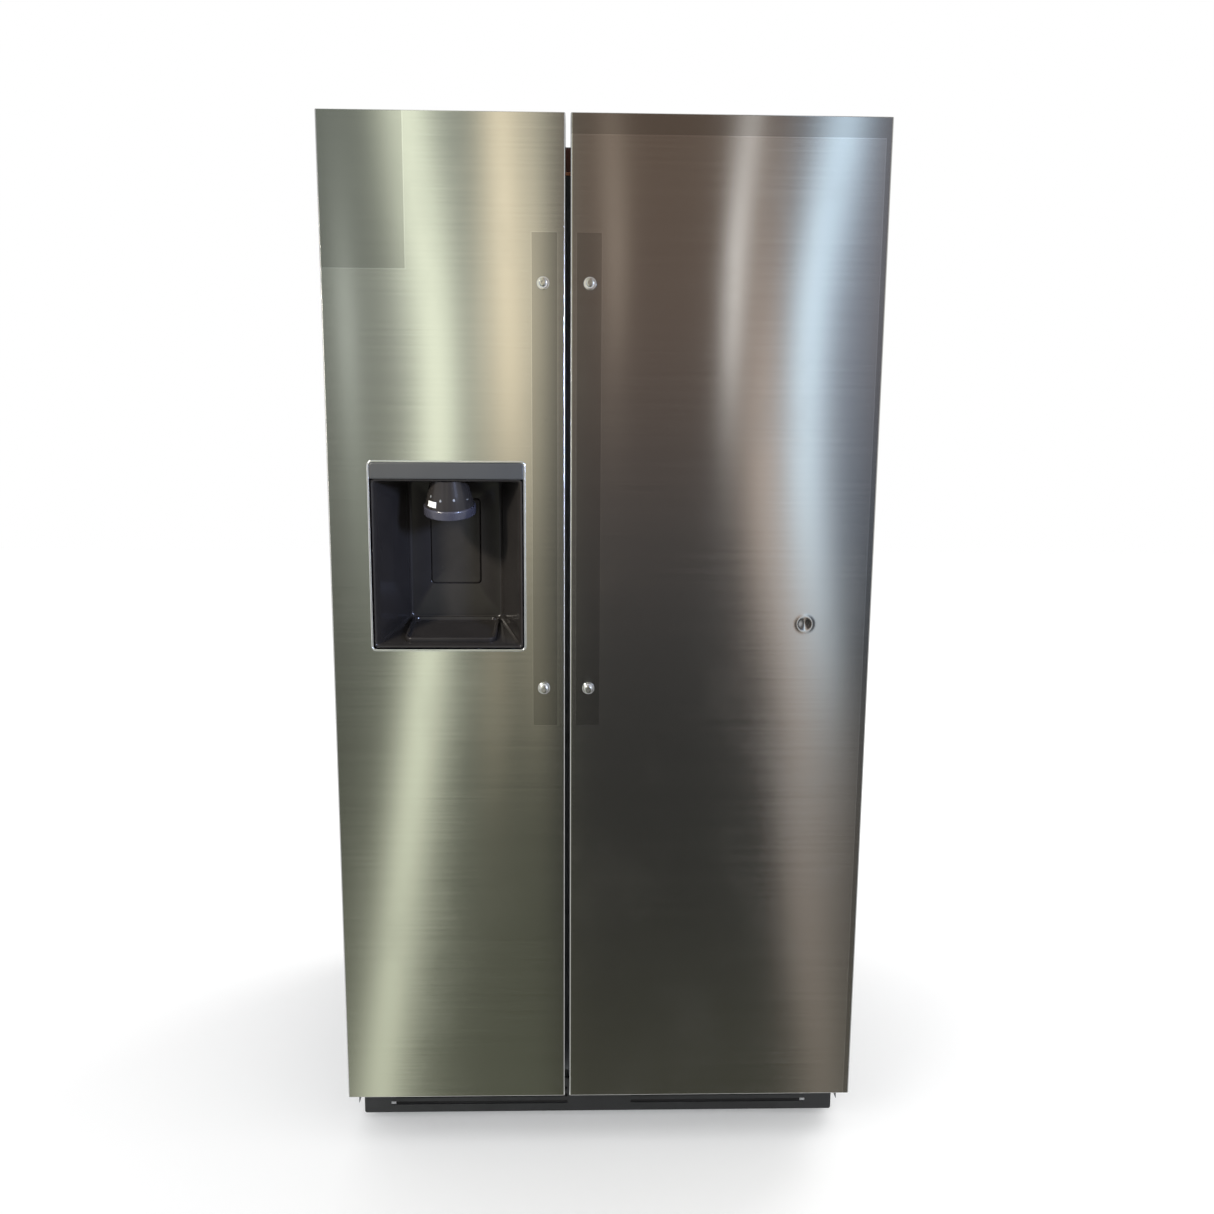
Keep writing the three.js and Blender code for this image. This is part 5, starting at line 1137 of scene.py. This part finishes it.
# %% Back sheet with pressed beads
def outline_distance(x, z, low, high, radius):
    """Signed distance to a rounded rectangle: length of what is beyond the core, less the radius."""
    middle_x, middle_z = (low[0] + high[0]) / 2, (low[1] + high[1]) / 2
    over_x = np.abs(x - middle_x) - ((high[0] - low[0]) / 2 - radius)
    over_z = np.abs(z - middle_z) - ((high[1] - low[1]) / 2 - radius)
    return np.hypot(np.maximum(over_x, 0), np.maximum(over_z, 0)) + np.minimum(np.maximum(over_x, over_z), 0) - radius


PRESSED_RISE, PRESSED_WIDTH, BACK_THICKNESS = 1.6 * MM, 7 * MM, 0.7 * MM


def pressed_back():
    """y = back + rise * exp(-(d / width) ** 4), with d the distance to the nearest of three bead outlines."""
    low, high = low_high("back_panel")
    x, z = np.linspace(low[0], high[0], 150), np.linspace(low[2], high[2], 240)
    px, pz = np.meshgrid(x, z, indexing="ij")
    depth = 0
    for x_low, x_high in ((-0.40, -0.14), (-0.11, 0.11), (0.14, 0.40)):
        d = outline_distance(px, pz, (x_low, 0.42), (x_high, 1.66), 0.04)
        depth = depth + np.exp(-((np.abs(d) / PRESSED_WIDTH) ** 4))
    py = high[1] + PRESSED_RISE * np.minimum(depth, 1)
    points = np.stack([px, py, pz], -1).reshape(-1, 3)
    sheet = mesh_piece("back_sheet_pressed", points, grid_faces(len(x), len(z)))
    thick = sheet.modifiers.new("sheet", "SOLIDIFY")
    thick.thickness, thick.offset = BACK_THICKNESS, -1
    return place(sheet, "cabinet", ZINC, ("back_panel",))


print("back sheet:", len(pressed_back().data.polygons), "faces")

# %% [markdown]
# Screws hold the back sheet and the machine cover. All the screws of a panel are one mesh: a turned pan head whose
# last rings draw in to a cross, r = 0.55 + 1.5 |cos 2t| ** 4 mm, repeated at each place by adding arrays.

# %% Screws
SCREW_RINGS = [(4.1, 0.0), (4.1, 0.5), (3.8, 1.2), (3.1, 1.7), (2.2, 1.95)]


def screws(name, centres, out, across, up, body, finish):
    """Pan heads at the centres. Out is the direction that they face, across and up span the panel."""
    around = 24
    t = np.linspace(0, 2 * math.pi, around, endpoint=False)
    cross = 0.55 + 1.5 * np.abs(np.cos(2 * t)) ** 4
    radius = np.array([np.full(around, r) for r, _ in SCREW_RINGS] + [cross, cross * 0.9])
    height = np.array([h for _, h in SCREW_RINGS] + [1.95, 0.9])[:, None]
    out, across, up = (np.array(v, float) for v in (out, across, up))
    one = ((radius * np.cos(t))[..., None] * across + (radius * np.sin(t))[..., None] * up
           + (height + 0 * radius)[..., None] * out).reshape(-1, 3) * MM
    points = (np.asarray(centres)[:, None] + one).reshape(-1, 3)
    quads = grid_faces(len(radius), around, close_columns=True)
    step = len(one) * np.arange(len(centres))
    faces = (quads + step[:, None, None]).reshape(-1, 4).tolist()
    floor = np.arange(around) + (len(radius) - 1) * around
    faces += [(floor + s).tolist() for s in step] + [(np.arange(around)[::-1] + s).tolist() for s in step]
    return place(crease(faces_outwards(mesh_piece(name, points, faces)), 40), body, finish)


back_high = low_high("back_panel")[1]
rim_x = [-0.435, -0.2175, 0.0, 0.2175, 0.435]
places = [(x, back_high[1], z) for x in rim_x for z in (0.325, 1.728)]
places += [(x, back_high[1], z) for x in (-0.435, 0.435) for z in np.linspace(0.60, 1.45, 4)]
screws("back_sheet_screws", places, (0, 1, 0), (1, 0, 0), (0, 0, 1), "cabinet", ZINC)
back_count = len(places)
cover_high = low_high("machine_cover")[1]
places = [(x, cover_high[1], z) for x in rim_x for z in (0.084, 0.284)]
screws("machine_cover_screws", places, (0, 1, 0), (1, 0, 0), (0, 0, 1), "cabinet", ZINC)
print(back_count + len(places), "screws")

# %% [markdown]
# On top, a moulded cover hides each hinge, and the wires of the doors pass under it. A cover is a stack of rounded
# rectangles that swells from its foot and ends in a soft edge.

# %% Hinge covers, the clip in the gap with its painted glint, and a painted shade sheet behind the kick plate
COVER_FOOT, COVER_FRONT = 1.7502, -0.3075
COVER_EDGE = [(3.0, 0.0), (0.0, 0.0), (0.0, 16.0), (0.5, 19.5), (2.0, 22.5), (4.5, 24.6), (8.0, 25.6), (16.0, 26.2)]
for side in ("left", "right"):
    low, high = low_high("top_hinge_" + side)
    cover_low = np.array([low[0] - 4 * MM, COVER_FRONT])
    cover_high = np.array([high[0] + 4 * MM, high[1] + 26 * MM])
    rings = [(*grown(cover_low, cover_high, -i * MM), max(12 - 0.4 * i, 3) * MM, COVER_FOOT + h * MM) for i,
             h in COVER_EDGE]
    moulding("hinge_cover_" + side, rings, "cabinet", CAP, "cap_plastic", axis="z", caps=(True, True), arc=8)
frame_low = low_high("front_frame")[0]
CLIP_EDGE = [(0, 0.0), (0, -0.8), (0.3, -1.2), (1.0, -1.4)]
BROWN = grained("brown_nylon", linear(112, 62, 50), 0.35, 1400, 0.2)
AMBER_GLINT = grained("amber_painted_glint", linear(250, 160, 112), 0.3, 1400, 0.2)
# The bright amber strip under the brown clip is a painted glint: it stands for light caught along the clip's lower
# edge.
for name, finish, bottom, top in (("centre_clip", BROWN, 1.7115, 1.7480),
                                  ("centre_clip_latch", AMBER_GLINT, 1.7055, 1.7110)):
    clip = edged((-0.0685, bottom), (-0.0515, top), CLIP_EDGE, 1.5, frame_low[1])
    moulding(name, clip, "cabinet", finish, "cap_plastic", angle=50, caps=(True, True), arc=4)
# Painted shade: a black sheet behind the kick plate's slots darkens what shows through them, where the space under the
# case is only in shade.
PAINTED_SHADE_BACK, PAINTED_SHADE_EDGE = -0.3045, [(0, 0), (0, -1.0), (0.4, -1.5)]
painted_shade = edged((-0.385, 0.020), (0.385, 0.078), PAINTED_SHADE_EDGE, 3, PAINTED_SHADE_BACK)
moulding("kick_plate_baffle", painted_shade, "cabinet", RUBBER, "rubber_black", angle=50, caps=(True, True))
print("hinge covers, clip and the dark baffle behind the kick plate")

# %% [markdown]
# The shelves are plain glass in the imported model. The real ones have a moulded front rail that stops spills, and a
# matching rail behind. The bins and drawers have a rolled rim, which is the same closed bead carried round the top.

# %% Shelf rails, rims and lamp covers
RAIL_WHITE = grained("rail_plastic", linear(206, 212, 216), 0.25, 1200, 0.06, 0.0001, 0.03)
RAIL = [(2.0, -7.0), (0.6, -6.2), (0.0, -4.5), (0.0, 4.5), (0.6, 6.2), (2.0, 7.0)]
for shelf in ("freezer_shelf", "fridge_shelf_1", "fridge_shelf_2", "fridge_shelf_3"):
    low, high = low_high(shelf)
    middle = (low[2] + high[2]) / 2
    for label, front, back in (("front", low[1] - 6 * MM, low[1] + 8 * MM),
                               ("back", high[1] - 12 * MM, high[1] - 1 * MM)):
        rings = edged((low[0] + 0.5 * MM, front), (high[0] - 0.5 * MM, back), RAIL, 3, middle)
        moulding(f"{shelf}_{label}_rail", rings, "cabinet", RAIL_WHITE, "white_liner", axis="z", caps=(True, True))

RIM = [(0.0, -5.0), (-1.2, -4.0), (-1.6, -1.5), (-1.2, 0.6), (0.2, 1.6), (1.8, 1.6), (3.0, 0.4), (3.2, -1.5),
       (2.6, -5.0)]
BINS = ("freezer_bin_1", "freezer_bin_2", "fridge_bin_1", "fridge_bin_2", "freezer_drawer_upper", "crisper_lower",
        "crisper_upper", "freezer_drawer_lower")
for node in BINS:
    low, high = low_high(node)
    rings = [(*grown(low[:2], high[:2], -(i + 1.7) * MM), 9 * MM, high[2] + (h - 2.0) * MM) for i, h in RIM]
    moulding(node + "_rim", rings, BODY_OF[node], RAIL_WHITE, "white_liner", axis="z", closed=True)

LAMP_LENS = grained("lamp_lens", linear(238, 240, 240), 0.3, 400, 0.1, change=0.01)
LAMP_FACE = 1.6995
LENS_EDGE = [(0.0, 0.0), (0.0, -3.0), (1.0, -6.0), (4.0, -8.5), (12.0, -10.0)]
for name, x_low, x_high in (("freezer_lamp_lens", -0.31, -0.19), ("fridge_lamp_lens", 0.09, 0.29)):
    rings = edged((x_low, -0.12), (x_high, -0.04), LENS_EDGE, 10, LAMP_FACE)
    moulding(name, rings, "cabinet", LAMP_LENS, "white_liner", axis="z", caps=(True, True))
print("rails, rims and lamp covers")

# %% [markdown]
# Cold air reaches the fresh food side through a duct panel on the back wall, with a row of louvres beside each shelf.
# A water filter stands in the top corner: a turned cartridge whose grip is a ring with ribs, r = r0 + 0.8 cos(18 t).

# %% Air duct and water filter
duct_low, duct_high = np.array([0.11, 1.36]), np.array([0.27, 1.66])
DUCT_BACK, LOUVRE_BACK = 0.3443, 0.3337
LOUVRE_EDGE = [(0, 0.0), (0, -0.8), (1.2, -1.3), (3.2, -0.7), (4.2, 0.1)]
DUCT = [(0.0, 0.0), (0.0, -6.0), (1.2, -9.0), (4.0, -10.5), (10.0, -11.0)]
rings = edged(duct_low, duct_high, DUCT, 12, DUCT_BACK)
moulding("air_duct_panel", rings, "cabinet", RAIL_WHITE, "white_liner", caps=(True, True))
for k in range(6):
    z = 1.42 + 0.034 * k
    rings = edged((0.145, z), (0.235, z + 0.014), LOUVRE_EDGE, 6, LOUVRE_BACK)
    moulding(f"air_duct_louvre_{k + 1}", rings, "cabinet", VINYL, "gasket_grey", caps=(True, True))

FILTER_X, FILTER_BACK, FILTER_Z, GRIP_AT = 0.372, 0.12, 1.663, 0.1625
FILTER = [(6.0, 0.0), (24.0, 0.0), (27.0, 3.0), (27.0, 150.0), (29.0, 153.0), (29.0, 172.0), (27.0, 176.0),
          (20.0, 178.0), (6.0, 178.0)]
cartridge = turned("water_filter", in_metres(FILTER), (FILTER_X, FILTER_BACK, FILTER_Z), (0, -1, 0), 72,
                   caps=(True, True))
co = np.array([v.co for v in cartridge.data.vertices])
around = np.arctan2(co[:, 2] - FILTER_Z, co[:, 0] - FILTER_X)
grip = np.exp(-(((co[:, 1] - (FILTER_BACK - GRIP_AT)) / 0.012) ** 4))
swell = 1 + 0.028 * np.cos(18 * around) * grip
co[:, 0] = FILTER_X + (co[:, 0] - FILTER_X) * swell
co[:, 2] = FILTER_Z + (co[:, 2] - FILTER_Z) * swell
cartridge.data.vertices.foreach_set("co", co.ravel())
place(crease(cartridge, 40), "cabinet", RAIL_WHITE)
print("air duct and filter")
